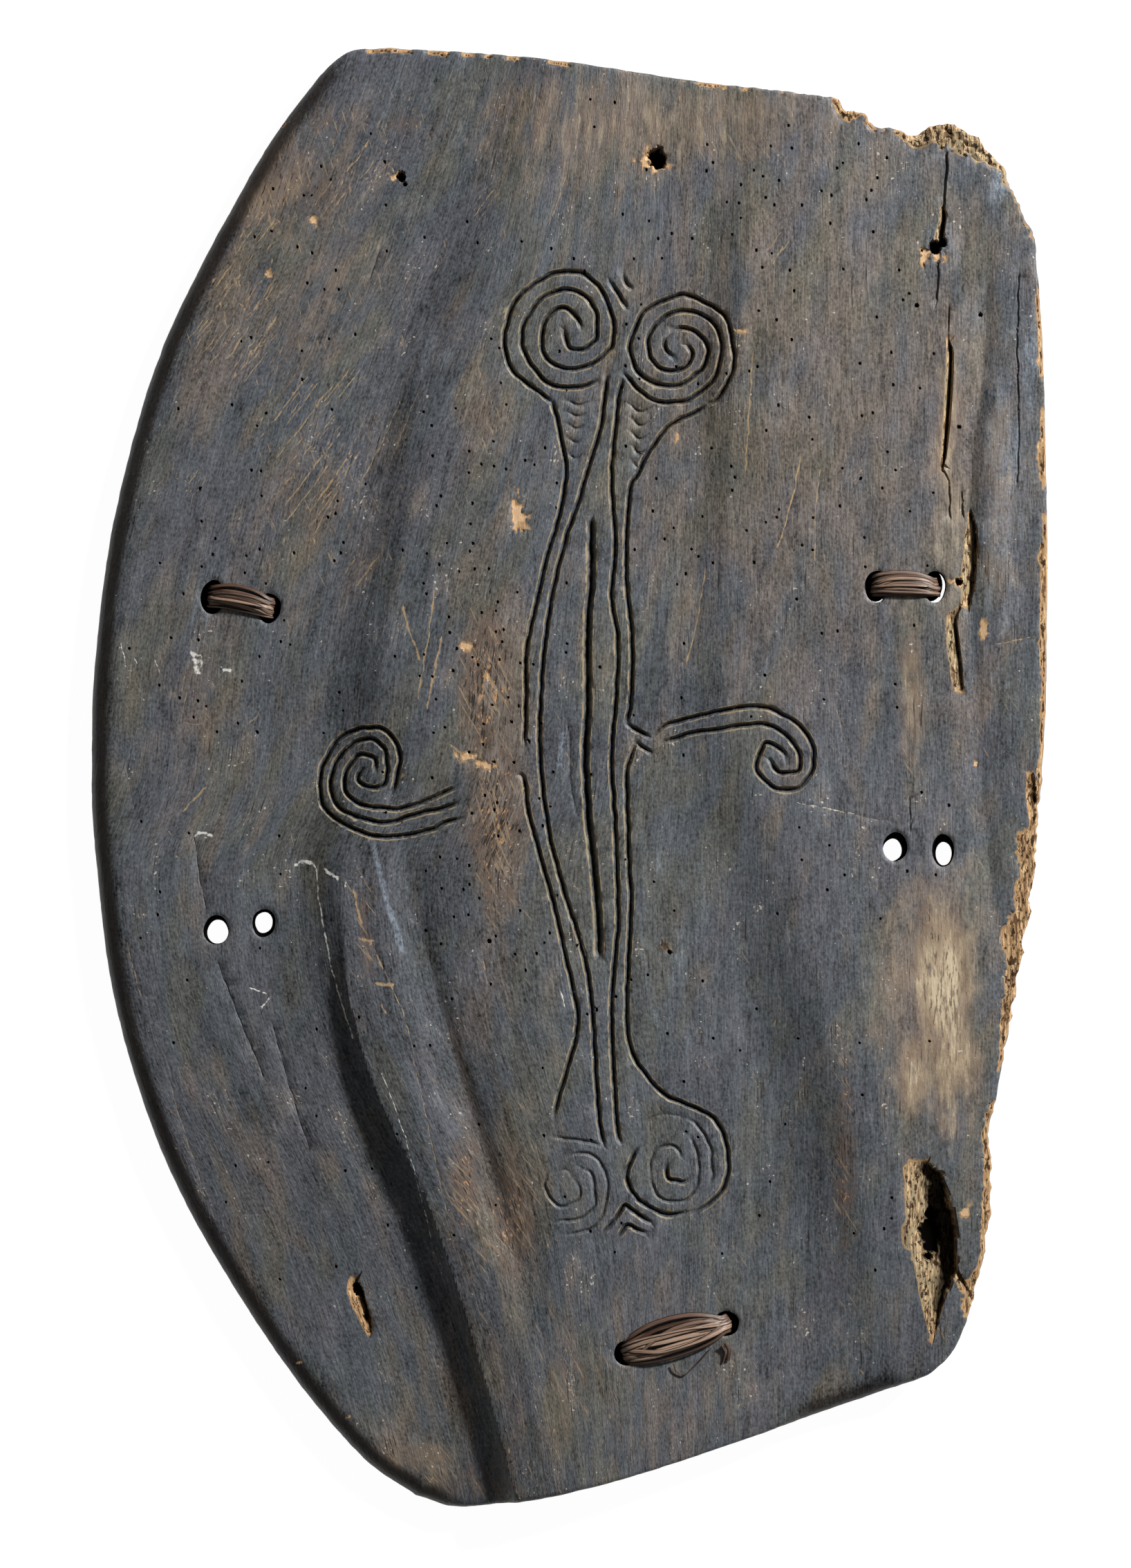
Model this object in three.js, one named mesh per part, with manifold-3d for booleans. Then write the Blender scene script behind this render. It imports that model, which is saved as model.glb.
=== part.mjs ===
// A carved wooden war shield: one plank with long folds down its front, pairs of holes
// through it, and three bundles of split cane wound through three of those pairs.
// Millimetres. The shield lies on its back, on the three lashings. +X is its right side as
// seen from the front, +Y its upper end and +Z its carved front. The origin is on the floor
// below the middle of the outline.

import * as THREE from 'three';
import { mergeVertices } from 'three/addons/utils/BufferGeometryUtils.js';
import Module from 'manifold-3d';

// Driving dimensions
const SHIELD_WIDTH = 760;
const SHIELD_HEIGHT = 1160;
const PLANK_THICKNESS = 15;
const BACK_HEIGHT = 6.3;
const BACK_RELIEF = 0.5;
const FOLD_FALL = 180;

// The outline, in stretches of points that a smooth curve runs through
const LEFT_EDGE = [
  [-122, -572], [-169, -537], [-239, -449], [-316, -317], [-360, -185], [-377, -60], [-380, 15],
  [-377, 95], [-361, 211], [-323, 343], [-256, 475], [-212, 541], [-180, 574], [-144, 580],
];
const TOP_EDGE = [[-34, 572], [98, 553], [208, 540]];
const RIGHT_EDGE = [
  [377, 330], [380, 200], [380, 130], [378, 35], [367, -97], [353, -185], [335, -275],
  [335, -339], [326, -395], [308, -449], [289, -471], [274, -479],
];
const BOTTOM_EDGE = [[164, -517], [32, -559], [-78, -580]];

// The broken upper right corner, straight from point to point
const BROKEN_CORNER = [
  [230, 529], [252, 518], [274, 513], [296, 519], [318, 509], [340, 491], [353, 467], [367, 431], [372, 409],
];

// The edge is square up to RIM_START and then leans in towards RIM_CENTRE
const RIM_START = 10;
const RIM_DEPTH = 50;
const RIM_LEAN = 0.05;
const RIM_CENTRE = [120, 60];

// Long folds, each a rise to the right. A row is a height y, then there the rise's middle x, its height,
// its half width and how sharp its crest is, from 0 for a soft swell to 1 for a crisp step
const MAIN_FOLD = [
  [-580, -45, 14, 17, 1], [-420, -99, 17, 16, 1], [-200, -171, 12, 18, 1], [0, -196, 7, 22, 0.4],
  [90, -183, 6, 28, 0], [310, -122, 6, 38, 0], [580, -25, 5, 35, 0],
];
const BRANCH_FOLD = [
  [-560, -8, 2, 22, 0], [-454, -29, 3, 22, 0], [-365, -49, 5, 22, 0.3], [-262, -73, 7, 22, 0.4],
  [-137, -107, 6, 22, 0.3], [2, -133, 2, 22, 0], [60, -145, 0, 22, 0],
];
const RIGHT_FOLD = [
  [-460, 220, 5, 30, 0], [-273, 194, 6, 30, 0], [-163, 172, 6, 30, 0], [-53, 153, 5, 30, 0],
  [46, 114, 5, 30, 0], [145, 102, 5, 30, 0], [266, 109, 6, 30, 0], [508, 139, 6, 30, 0],
];

// The plank's grid: columns left of the main fold, across its rise and right of it, then rows
const COLUMNS = [10, 4, 18];
const ROWS = 44;
const GRID_MARGIN = 30;

// A flat patch planed in the middle of the back, and the blend around it
const SEAT_HALF = 60;
const SEAT_BLEND = 60;
const SEAT_HEIGHT = 8;

// Holes: the mouth's middle and radii on the front, how the back mouth shrinks and where it shifts to
const EMPTY_HOLES = [
  { x: -280, y: -121, rx: 10.4, ry: 11.8, shrink: 0.8, lean: [0.3, -2.2] },
  { x: -242, y: -116, rx: 9.5, ry: 11.4, shrink: 0.72, lean: [-1, 0] },
  { x: 259, y: -55, rx: 10, ry: 11.9, shrink: 0.75, lean: [-1.3, -3] },
  { x: 297, y: -58, rx: 9, ry: 13.2, shrink: 0.7, lean: [1.8, -3] },
];
const LASHING_HOLES = {
  cane_lashing_upper_left: [
    { x: -283, y: 143, rx: 9.5, ry: 13.5, shrink: 1, lean: [0, 0] },
    { x: -238, y: 134, rx: 9.5, ry: 12, shrink: 1, lean: [0, 0] },
  ],
  cane_lashing_upper_right: [
    { x: 244, y: 151, rx: 9, ry: 12.5, shrink: 1, lean: [0, 0] },
    { x: 291, y: 151, rx: 9, ry: 12.5, shrink: 1, lean: [0, 0] },
  ],
  cane_lashing_lower: [
    { x: 46, y: -456, rx: 10, ry: 10, shrink: 1, lean: [0, 0] },
    { x: 125, y: -433, rx: 10, ry: 10, shrink: 1, lean: [0, 0] },
  ],
};
const HOLE_SIDES = 14;
const HOLE_LENGTH = 60;

// Rot and old pits on the front: middle, half sizes, all as part of a round hollow
const HOLLOWS = [
  { x: 70, y: 491, half: [8, 9.5, 10] },
  { x: 292, y: 422, half: [6.8, 9.5, 10] },
  { x: 285, y: -361, half: [11, 36, 13] },
  { x: 284, y: -400, half: [14, 60, 5] },
];
const HOLLOW_SIDES = 12;

// Bundles of split cane: half widths on the runs and in the holes, half thicknesses, and how far
// the middle of a run stands clear of the plank
const BUNDLES = {
  cane_lashing_upper_left: { runWidth: 12, legWidth: 9, frontThick: 3, legThick: 4, clear: 2.5 },
  cane_lashing_upper_right: { runWidth: 11, legWidth: 9, frontThick: 3, legThick: 4, clear: 2.5 },
  cane_lashing_lower: { runWidth: 17, legWidth: 7, frontThick: 4, legThick: 4.5, clear: 3.4 },
};
const BUNDLE_SIDES = 10;
const BUNDLE_STEPS = 28;
const BUNDLE_SQUARENESS = 3.4;
const BUNDLE_WAIST = 0.8;
const BUNDLE_PRESS = 1.25;

const wasm = await Module();
wasm.setup();

// A smooth curve through a fold's rows, read off at any height y
function foldCurve(rows) {
  const heights = rows.map((row) => row[0]);
  const values = rows.flatMap((row) => row.slice(1));
  return new THREE.CubicInterpolant(heights, values, 4);
}

const FOLDS = [MAIN_FOLD, BRANCH_FOLD, RIGHT_FOLD].map(foldCurve);

// The folds' height at a point: each rises over its width and falls off slowly to the right
function relief(x, y) {
  let height = 0;
  for (const fold of FOLDS) {
    const [middle, rise, half, crest] = fold.evaluate(y);
    const way = THREE.MathUtils.clamp((x - middle + half) / (2 * half), 0, 1);
    const climb = THREE.MathUtils.lerp(THREE.MathUtils.smoothstep(way, 0, 1), way * way, crest);
    const past = Math.max(0, x - middle - half);
    height += Math.max(0, rise) * climb * Math.exp(-past / FOLD_FALL);
  }
  return height;
}

function frontHeight(x, y) {
  return BACK_HEIGHT + PLANK_THICKNESS + relief(x, y);
}

// The back follows the folds at a part of their height, and is planed flat in the middle
function backHeight(x, y) {
  const off = Math.max(Math.abs(x), Math.abs(y)) - SEAT_HALF;
  const carved = BACK_HEIGHT + BACK_RELIEF * relief(x, y);
  return THREE.MathUtils.lerp(SEAT_HEIGHT, carved, THREE.MathUtils.smoothstep(off, 0, SEAT_BLEND));
}

function movePoints(geometry, place) {
  const points = geometry.attributes.position;
  const uv = geometry.attributes.uv;
  const point = new THREE.Vector3();
  for (let i = 0; i < points.count; i++) {
    point.fromBufferAttribute(points, i);
    place(point, uv.getX(i), uv.getY(i));
    points.setXYZ(i, point.x, point.y, point.z);
  }
  return geometry;
}

function toSolid(geometry) {
  const bare = geometry.clone();
  bare.deleteAttribute('normal');
  bare.deleteAttribute('uv');
  const merged = mergeVertices(bare);
  return new wasm.Manifold(new wasm.Mesh({
    numProp: 3,
    vertProperties: new Float32Array(merged.attributes.position.array),
    triVerts: new Uint32Array(merged.index.array),
  }));
}

function toGeometry(solid) {
  const mesh = solid.getMesh();
  const geometry = new THREE.BufferGeometry();
  geometry.setAttribute('position', new THREE.BufferAttribute(mesh.vertProperties, 3));
  geometry.setIndex(new THREE.BufferAttribute(mesh.triVerts, 1));
  geometry.computeVertexNormals();
  return geometry;
}

// Where a grid column lies at height y: the columns lean with the main fold
function columnX(column, y) {
  const [left, rise, right] = COLUMNS;
  const [middle, , half] = FOLDS[0].evaluate(y);
  const edge = SHIELD_WIDTH / 2 + GRID_MARGIN;
  if (column <= left) {
    return THREE.MathUtils.lerp(-edge, middle - half, column / left);
  }
  if (column <= left + rise) {
    return THREE.MathUtils.lerp(middle - half, middle + half, (column - left) / rise);
  }
  return THREE.MathUtils.lerp(middle + half, edge, (column - left - rise) / right);
}

// The plank before it is cut to its outline
function plankSolid() {
  const columns = COLUMNS.reduce((sum, count) => sum + count);
  const height = SHIELD_HEIGHT + 2 * GRID_MARGIN;
  const slab = new THREE.BoxGeometry(columns, height, 2, columns, ROWS, 1);
  movePoints(slab, (point) => {
    const front = point.z > 0;
    point.x = columnX(Math.round(point.x + columns / 2), point.y);
    point.z = front ? frontHeight(point.x, point.y) : backHeight(point.x, point.y);
  });
  return toSolid(slab);
}

function toPoints(list) {
  return list.map(([x, y]) => new THREE.Vector2(x, y));
}

// The outline as a tall prism whose upper half leans in, for the slope of the rim
function outlineSolid() {
  const outline = new THREE.Shape();
  outline.moveTo(...LEFT_EDGE[0]);
  outline.splineThru(toPoints(LEFT_EDGE.slice(1)));
  outline.splineThru(toPoints(TOP_EDGE));
  for (const [x, y] of BROKEN_CORNER) {
    outline.lineTo(x, y);
  }
  outline.splineThru(toPoints(RIGHT_EDGE));
  outline.splineThru(toPoints([...BOTTOM_EDGE, LEFT_EDGE[0]]));
  const prism = new THREE.ExtrudeGeometry(outline, {
    depth: 2 * RIM_DEPTH,
    steps: 2,
    curveSegments: 2,
    bevelEnabled: false,
  });
  const [centreX, centreY] = RIM_CENTRE;
  movePoints(prism, (point) => {
    const keep = point.z > 1.5 * RIM_DEPTH ? 1 - RIM_LEAN : 1;
    point.x = centreX + (point.x - centreX) * keep;
    point.y = centreY + (point.y - centreY) * keep;
    point.z += RIM_START - RIM_DEPTH;
  });
  return toSolid(prism);
}

// A hole through the plank, wide at the front and leaning to its back mouth
function holeSolid(hole) {
  const front = frontHeight(hole.x, hole.y);
  const depth = front - backHeight(hole.x, hole.y);
  const bore = new THREE.CylinderGeometry(1, 1, HOLE_LENGTH, HOLE_SIDES);
  bore.rotateX(Math.PI / 2);
  movePoints(bore, (point) => {
    const deep = -point.z / depth;
    const size = 1 + (hole.shrink - 1) * deep;
    point.x = hole.x + point.x * hole.rx * size + hole.lean[0] * deep;
    point.y = hole.y + point.y * hole.ry * size + hole.lean[1] * deep;
    point.z += front;
  });
  return toSolid(bore);
}

function hollowSolid({ x, y, half }) {
  const ball = new THREE.SphereGeometry(1, HOLLOW_SIDES, HOLLOW_SIDES / 2);
  ball.rotateX(Math.PI / 2);
  ball.scale(...half);
  ball.translate(x, y, frontHeight(x, y));
  return toSolid(ball);
}

function boardGeometry() {
  let board = plankSolid().intersect(outlineSolid());
  const holes = [...EMPTY_HOLES, ...Object.values(LASHING_HOLES).flat()];
  for (const hole of holes) {
    board = board.subtract(holeSolid(hole));
  }
  for (const hollow of HOLLOWS) {
    board = board.subtract(hollowSolid(hollow));
  }
  return toGeometry(board);
}

function roundedPower(value, power) {
  return Math.sign(value) * Math.abs(value) ** power;
}

// How much higher a surface is at one hole than at the other
function endToEnd(surface, first, second) {
  return surface(second.x, second.y) - surface(first.x, first.y);
}

// A bundle wound through a pair of holes: a squarish loop, broad and flat on the front and the
// back and narrow in the holes, with its back run pressed flat on the floor
function bundleGeometry(holes, bundle) {
  const first = new THREE.Vector2(holes[0].x, holes[0].y);
  const second = new THREE.Vector2(holes[1].x, holes[1].y);
  const middle = first.clone().add(second).multiplyScalar(0.5);
  const along = second.clone().sub(first);
  const reach = along.length() / 2;
  along.normalize();
  const across = new THREE.Vector2(along.y, -along.x);

  const front = frontHeight(middle.x, middle.y) + bundle.clear + bundle.frontThick;
  const backThick = (backHeight(middle.x, middle.y) - bundle.clear) / 2;
  const centre = (front + backThick) / 2;
  const rise = (front - backThick) / 2;
  const frontSlope = endToEnd(frontHeight, first, second) / (2 * reach);
  const backSlope = endToEnd(backHeight, first, second) / (2 * reach);

  const ring = new THREE.TorusGeometry(1, 0.5, BUNDLE_SIDES, BUNDLE_STEPS);
  movePoints(ring, (point, turnPart, roundPart) => {
    const turn = 2 * Math.PI * (turnPart % 1);
    const round = 2 * Math.PI * (roundPart % 1);
    const power = 2 / BUNDLE_SQUARENESS;
    const leg = Math.abs(Math.cos(turn)) ** BUNDLE_WAIST;
    const runThick = Math.sin(turn) > 0 ? bundle.frontThick : backThick;
    const thick = THREE.MathUtils.lerp(runThick, bundle.legThick, leg);
    const wide = THREE.MathUtils.lerp(bundle.runWidth, bundle.legWidth, leg);
    const outward = new THREE.Vector2(
      roundedPower(Math.cos(turn), 2 - power) / reach,
      roundedPower(Math.sin(turn), 2 - power) / rise,
    ).normalize();
    const pressed = Math.sin(turn) < 0 && Math.cos(round) > 0;
    const out = thick * Math.cos(round) * (pressed ? BUNDLE_PRESS : 1);
    const side = wide * Math.sin(round);
    const run = reach * roundedPower(Math.cos(turn), power) + outward.x * out;
    const slope = THREE.MathUtils.lerp(backSlope, frontSlope, (1 + Math.sin(turn)) / 2);
    const height = centre + rise * roundedPower(Math.sin(turn), power) + outward.y * out + slope * run;
    point.x = middle.x + along.x * run + across.x * side;
    point.y = middle.y + along.y * run + across.y * side;
    point.z = Math.max(0, height);
  });
  return toGeometry(toSolid(ring));
}

const patinatedWood = new THREE.MeshStandardMaterial({ color: 0x605e5d, roughness: 0.62, metalness: 0 });
const splitCane = new THREE.MeshStandardMaterial({ color: 0x6b5548, roughness: 0.55, metalness: 0 });

const shield = new THREE.Group();
const board = new THREE.Mesh(boardGeometry(), patinatedWood);
board.name = 'shield_board';
shield.add(board);

for (const [name, holes] of Object.entries(LASHING_HOLES)) {
  const lashing = new THREE.Mesh(bundleGeometry(holes, BUNDLES[name]), splitCane);
  lashing.name = name;
  shield.add(lashing);
}

export default shield;
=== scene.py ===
# %% [markdown]
# # A carved wooden war shield
# The shield is one thin plank, hewn from the flange of a tree's root. Long folds run down it, its front is
# engraved with paired spirals on a stem, and three bundles of split cane are still wound through holes in it.
# This notebook gives the plain CAD model its finished looks. Sizes are in millimetres until a mesh is made.

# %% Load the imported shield
import math
import random

import bpy
import numpy as np
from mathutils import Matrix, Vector, geometry, kdtree, noise


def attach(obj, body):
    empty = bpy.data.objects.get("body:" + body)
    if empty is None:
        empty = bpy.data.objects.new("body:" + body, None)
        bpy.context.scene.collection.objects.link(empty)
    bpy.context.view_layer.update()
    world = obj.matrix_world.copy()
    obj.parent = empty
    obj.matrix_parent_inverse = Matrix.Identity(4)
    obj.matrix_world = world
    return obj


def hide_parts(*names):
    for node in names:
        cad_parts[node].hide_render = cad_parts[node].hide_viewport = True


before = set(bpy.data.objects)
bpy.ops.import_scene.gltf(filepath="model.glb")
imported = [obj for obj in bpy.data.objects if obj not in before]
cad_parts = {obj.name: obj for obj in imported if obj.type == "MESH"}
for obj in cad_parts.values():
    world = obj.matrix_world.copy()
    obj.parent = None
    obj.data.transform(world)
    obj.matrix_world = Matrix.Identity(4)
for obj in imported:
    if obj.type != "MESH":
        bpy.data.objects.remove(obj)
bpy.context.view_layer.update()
bpy.ops.object.select_all(action="DESELECT")
MM = 0.001
random.seed(11)
print("CAD nodes:", sorted(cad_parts))

# %% [markdown]
# ## The plank's two surfaces
# A plank like this isn't flat: its folds are steps that rise to the right and then fall off slowly. Sculpting
# them by brush would be quick but hard to repeat, so each fold is a small table. A row says, at one height of
# the shield, where the step is, how high and how wide it is, and how crisp its crest is. A smooth curve runs
# through the rows, and adding the folds up gives the height of the wood at any point.

# %% Tables of the folds and creases
# Rows of a fold: height on the shield, middle of the step, its rise, half width and crest
MAIN_FOLD = [
    (-580, -52, 18, 13, 1), (-454, -86, 20, 13, 1), (-344, -123, 22, 14, 1), (-234, -171, 19, 13, 1),
    (-179, -188, 16, 15, 0.9), (-124, -197, 12, 18, 0.6), (-69, -199, 10, 20, 0.3), (-14, -180, 9, 22, 0.2),
    (96, -167, 11, 24, 0.2), (206, -146, 9, 27, 0), (316, -117, 8, 27, 0), (426, -76, 7, 28, 0),
    (580, -25, 4.5, 30, 0),
]
RIGHT_FOLD = [
    (-480, 222, 4, 36, 0), (-399, 211, 9, 34, 0.2), (-289, 192, 13, 32, 0.2), (-179, 169, 13, 32, 0.2),
    (-69, 147, 9, 34, 0), (41, 112, 5, 30, 0), (151, 106, 5, 22, 0.2), (261, 112, 7, 17, 0.4),
    (371, 118, 8, 17, 0.4), (426, 126, 7, 18, 0.3), (508, 142, 5, 24, 0),
]
# Rows of a crease: height on the shield, its bottom, its depth, and how far it reaches to the left and right
BRANCH_CREASE = [
    (40, -146, 0, 30, 26), (10, -143, 2, 30, 26), (-69, -127, 6, 30, 26), (-124, -115, 8, 32, 26),
    (-179, -100, 9, 34, 25), (-234, -84, 9.5, 34, 25), (-289, -66, 9.5, 34, 24), (-344, -50, 9.5, 32, 22),
    (-399, -36, 5, 28, 22), (-460, -28, 0, 24, 24),
]
RIGHT_CREASE = [
    (440, 332, 0, 14, 9), (371, 331, 6, 14, 9), (316, 329, 8, 14, 9), (261, 321, 8, 14, 9),
    (151, 319, 6, 14, 9), (41, 326, 4, 14, 9), (-69, 333, 4, 14, 9), (-124, 340, 3, 14, 9),
    (-200, 345, 0, 14, 9),
]
FOLDS = (MAIN_FOLD, RIGHT_FOLD)
CREASES = (BRANCH_CREASE, RIGHT_CREASE)
print(f"folds: {len(FOLDS)}, creases: {len(CREASES)}")

# %% Read the tables
def smoothstep(low, high, value):
    """0 at low, 1 at high, and a smooth rise between them."""
    part = np.clip((value - low) / (high - low), 0.0, 1.0)
    return part * part * (3.0 - 2.0 * part)


def rows_at(rows, y):
    """The values of a fold or crease at heights y, on a smooth curve through its rows."""
    table = np.array(sorted(rows), float)
    knots, values = table[:, 0], table[:, 1:]
    slopes = np.gradient(values, knots, axis=0)
    y = np.clip(y, knots[0], knots[-1])
    row = np.clip(np.searchsorted(knots, y) - 1, 0, len(knots) - 2)
    gap = (knots[row + 1] - knots[row])[:, None]
    t = (y - knots[row])[:, None] / gap
    start = (2 * t**3 - 3 * t**2 + 1) * values[row] + (t**3 - 2 * t**2 + t) * gap * slopes[row]
    end = (3 * t**2 - 2 * t**3) * values[row + 1] + (t**3 - t**2) * gap * slopes[row + 1]
    return (start + end).T


rise, half = rows_at(MAIN_FOLD, np.zeros(1))[[1, 2]]
print(f"main fold at mid height: {rise[0]:.1f} mm high, {2 * half[0]:.0f} mm wide")

# %% The height of the wood
BACK_HEIGHT = 6.3
PLANK = 15.0
BACK_RELIEF = 0.5
BACK_ROUGH = 0.6
# The flat seat in the middle of the back: half its size, the blend round it, and its height above the floor
SEAT_HALF = 60.0
SEAT_BLEND = 60.0
SEAT_HEIGHT = 8.0
# How slowly a fold falls off past its crest, how round the crest is, and the shares of its step and its tail
FOLD_FALL = 180.0
CREST_ROUND = 34.0
CREST_STEP = 0.76
CREST_TAIL = 0.24
CREASE_ROUND = 0.3
# Facets left by the adze: width, length, height, and the slice of noise that they are taken from
FACETS = [(34, 210, 0.75, 3.1), (15, 60, 0.22, 7.7)]


def relief(x, y):
    """The height that the folds and creases add to the plank."""
    height = np.zeros(len(x))
    for fold in FOLDS:
        middle, rise, half, crest = rows_at(fold, y)
        way = np.clip((x - middle + half) / (2 * half), 0.0, 1.0)
        past = np.maximum(0.0, x - middle - half)
        lip = CREST_STEP * way**3 + CREST_TAIL * (1 - np.exp(-past / CREST_ROUND))
        climb = (1 - crest) * smoothstep(0, 1, way) + crest * lip
        height += np.maximum(0.0, rise) * climb * np.exp(-np.maximum(0.0, past - CREST_ROUND) / FOLD_FALL)
    for crease in CREASES:
        bottom, depth, left, right = rows_at(crease, y)
        away = np.where(x < bottom, (bottom - x) / left, (x - bottom) / right)
        height -= np.maximum(0.0, depth) * np.exp(-np.hypot(away, CREASE_ROUND))
    return height


def noise_at(x, y, wide, tall, level):
    """Soft noise at each point, in cells of the given width and height."""
    return np.array([noise.noise(Vector((a / wide, b / tall, level))) for a, b in zip(x, y)])


def rough_noise_at(points, wide, tall, level, roughness, spread, octaves):
    """Noise with finer noise on it at each point."""
    spots = [Vector((a / wide, b / tall, level)) for a, b in points]
    return np.array([noise.fractal(spot, roughness, spread, octaves) for spot in spots])


def hewn(x, y):
    """The slow unevenness left by hewing: facets along the grain, under a millimetre high."""
    height = np.zeros(len(x))
    for wide, tall, rise, level in FACETS:
        height += rise * noise_at(x, y, wide, tall, level)
    return height


def front_height(x, y):
    """How high the front stands above the floor."""
    return BACK_HEIGHT + PLANK + relief(x, y) + hewn(x, y)


def seat_share(x, y):
    """0 on the flat seat in the middle of the back, 1 on the hewn back round it."""
    return smoothstep(SEAT_HALF, SEAT_HALF + SEAT_BLEND, np.maximum(np.abs(x), np.abs(y)))


def back_height(x, y):
    """How high the back stands above the floor."""
    hewn_back = BACK_HEIGHT + BACK_ROUGH + BACK_RELIEF * relief(x, y)
    return SEAT_HEIGHT + (hewn_back - SEAT_HEIGHT) * seat_share(x, y)


middle_front = front_height(np.zeros(1), np.zeros(1))[0]
print(f"front of the plank at its middle: {middle_front:.1f} mm above the floor")

# %% [markdown]
# ## The outline
# The edge is drawn as a few smooth stretches, with the same points as the CAD model has, and a broken corner
# at the upper right. A curve object would do, but the mesh below needs the points themselves, so one small
# function walks a smooth curve through any list of points at an even step.

# %% Draw the outline
LEFT_EDGE = [
    (-122, -572), (-169, -537), (-239, -449), (-316, -317), (-360, -185), (-377, -60), (-380, 15),
    (-377, 95), (-361, 211), (-323, 343), (-256, 475), (-212, 541), (-180, 574), (-144, 580),
]
TOP_EDGE = [(-144, 580), (-34, 572), (98, 553), (208, 540)]
BROKEN_CORNER = [
    (208, 540), (215, 537), (218, 530), (231, 528), (236, 523), (242, 517), (257, 515), (272, 511),
    (280, 515), (294, 519), (313, 514), (326, 506), (341, 491), (347, 476), (355, 462), (363, 446),
    (370, 427), (372, 409),
]
RIGHT_EDGE = [
    (372, 409), (377, 330), (380, 200), (380, 130), (378, 35), (367, -97), (353, -185), (335, -275),
    (335, -339), (326, -395), (308, -449), (289, -471), (274, -479),
]
BOTTOM_EDGE = [(274, -479), (164, -517), (32, -559), (-78, -580), (-122, -572)]
EDGE_STEP = 3.0
CURVE_PARTS = 16


def curve_through(points, step):
    """Points at an even step along a smooth curve through the given points."""
    pts = np.array(points, float)
    padded = np.vstack([2 * pts[0] - pts[1], pts, 2 * pts[-1] - pts[-2]])
    fine = []
    for a, b, c, d in zip(padded, padded[1:], padded[2:], padded[3:]):
        for t in np.linspace(0, 1, CURVE_PARTS, endpoint=False):
            bend = (2 * a - 5 * b + 4 * c - d) * t**2 + (3 * b - a - 3 * c + d) * t**3
            fine.append(b + 0.5 * ((c - a) * t + bend))
    fine = np.array(fine + [pts[-1]])
    along = np.concatenate([[0], np.cumsum(np.linalg.norm(np.diff(fine, axis=0), axis=1))])
    even = np.linspace(0, along[-1], max(2, round(along[-1] / step) + 1))
    return np.column_stack([np.interp(even, along, fine[:, 0]), np.interp(even, along, fine[:, 1])])


def normals_of(line, closed=False):
    """Unit normals to the left of a run of points."""
    if closed:
        way = np.roll(line, -1, axis=0) - np.roll(line, 1, axis=0)
    else:
        way = np.gradient(line, axis=0)
    way /= np.linalg.norm(way, axis=1)[:, None]
    return np.column_stack([-way[:, 1], way[:, 0]])


stretches = [LEFT_EDGE, TOP_EDGE, BROKEN_CORNER, RIGHT_EDGE, BOTTOM_EDGE]
edge_line = np.vstack([curve_through(stretch, EDGE_STEP)[:-1] for stretch in stretches])
outward = normals_of(edge_line, closed=True)
print(f"outline: {len(edge_line)} points")

# %% [markdown]
# ## A worn edge
# The left side is rounded off by a centimetre or so, the top and the right side hardly at all, and where the
# wood has broken the edge is ragged. Bevelling would give every edge one width, so the width is worked out
# for each point from the way that the edge faces, and seeded noise nibbles the broken stretches.

# %% Work out the rim
RIM_NARROW = 3.0
RIM_WIDE = 16.0
DROP_NARROW = 2.5
DROP_WIDE = 12.0
# The way that the worn side faces
WORN_SIDE = np.array([-0.96, -0.28])
# How far the noise nibbles a broken edge and a sound one, and how much a broken edge has lost on the whole
BROKEN_NIBBLE = 2.8
SOUND_NIBBLE = 0.35
BROKEN_LOSS = 0.8


def broken_share(x, y):
    """How far an edge point lies on one of the broken stretches, from 0 to 1."""
    corner = smoothstep(195, 235, x) * smoothstep(395, 430, y)
    top = 0.5 * smoothstep(110, 190, x) * smoothstep(480, 500, y)
    right = smoothstep(300, 330, x) * smoothstep(-240, -190, y) * smoothstep(20, -30, y)
    low = smoothstep(290, 310, x) * smoothstep(-440, -415, y) * smoothstep(-240, -280, y)
    return np.clip(np.maximum(corner, top) + right + 0.7 * low, 0, 1)


broken_edge = broken_share(edge_line[:, 0], edge_line[:, 1])
nibble = rough_noise_at(edge_line, 12, 12, 0.5, 0.7, 2.2, 4)
shift = broken_edge * (BROKEN_NIBBLE * nibble - BROKEN_LOSS) + SOUND_NIBBLE * nibble
edge_line = edge_line + outward * shift[:, None]
facing_left = outward @ WORN_SIDE
low_right = smoothstep(150, 200, edge_line[:, 0]) * smoothstep(-470, -490, edge_line[:, 1])
wide_share = np.clip(smoothstep(-0.1, 0.75, facing_left) + 0.8 * low_right, 0, 1)
rim_width = RIM_NARROW + (RIM_WIDE - RIM_NARROW) * wide_share
rim_drop = DROP_NARROW + (DROP_WIDE - DROP_NARROW) * wide_share
rim_inner = edge_line - outward * rim_width[:, None]
print(f"rim: {rim_width.min():.1f} to {rim_width.max():.1f} mm wide")

# %% [markdown]
# ## The carved lines
# The engraving is a stem with a pair of spirals at each end and a curled arm on each side, cut as V-shaped
# grooves about five millimetres wide. Boolean cuts along curves would leave ragged triangles, so each line
# is kept as points, and later the surface is woven round them with rails of points along both lips.

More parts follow.
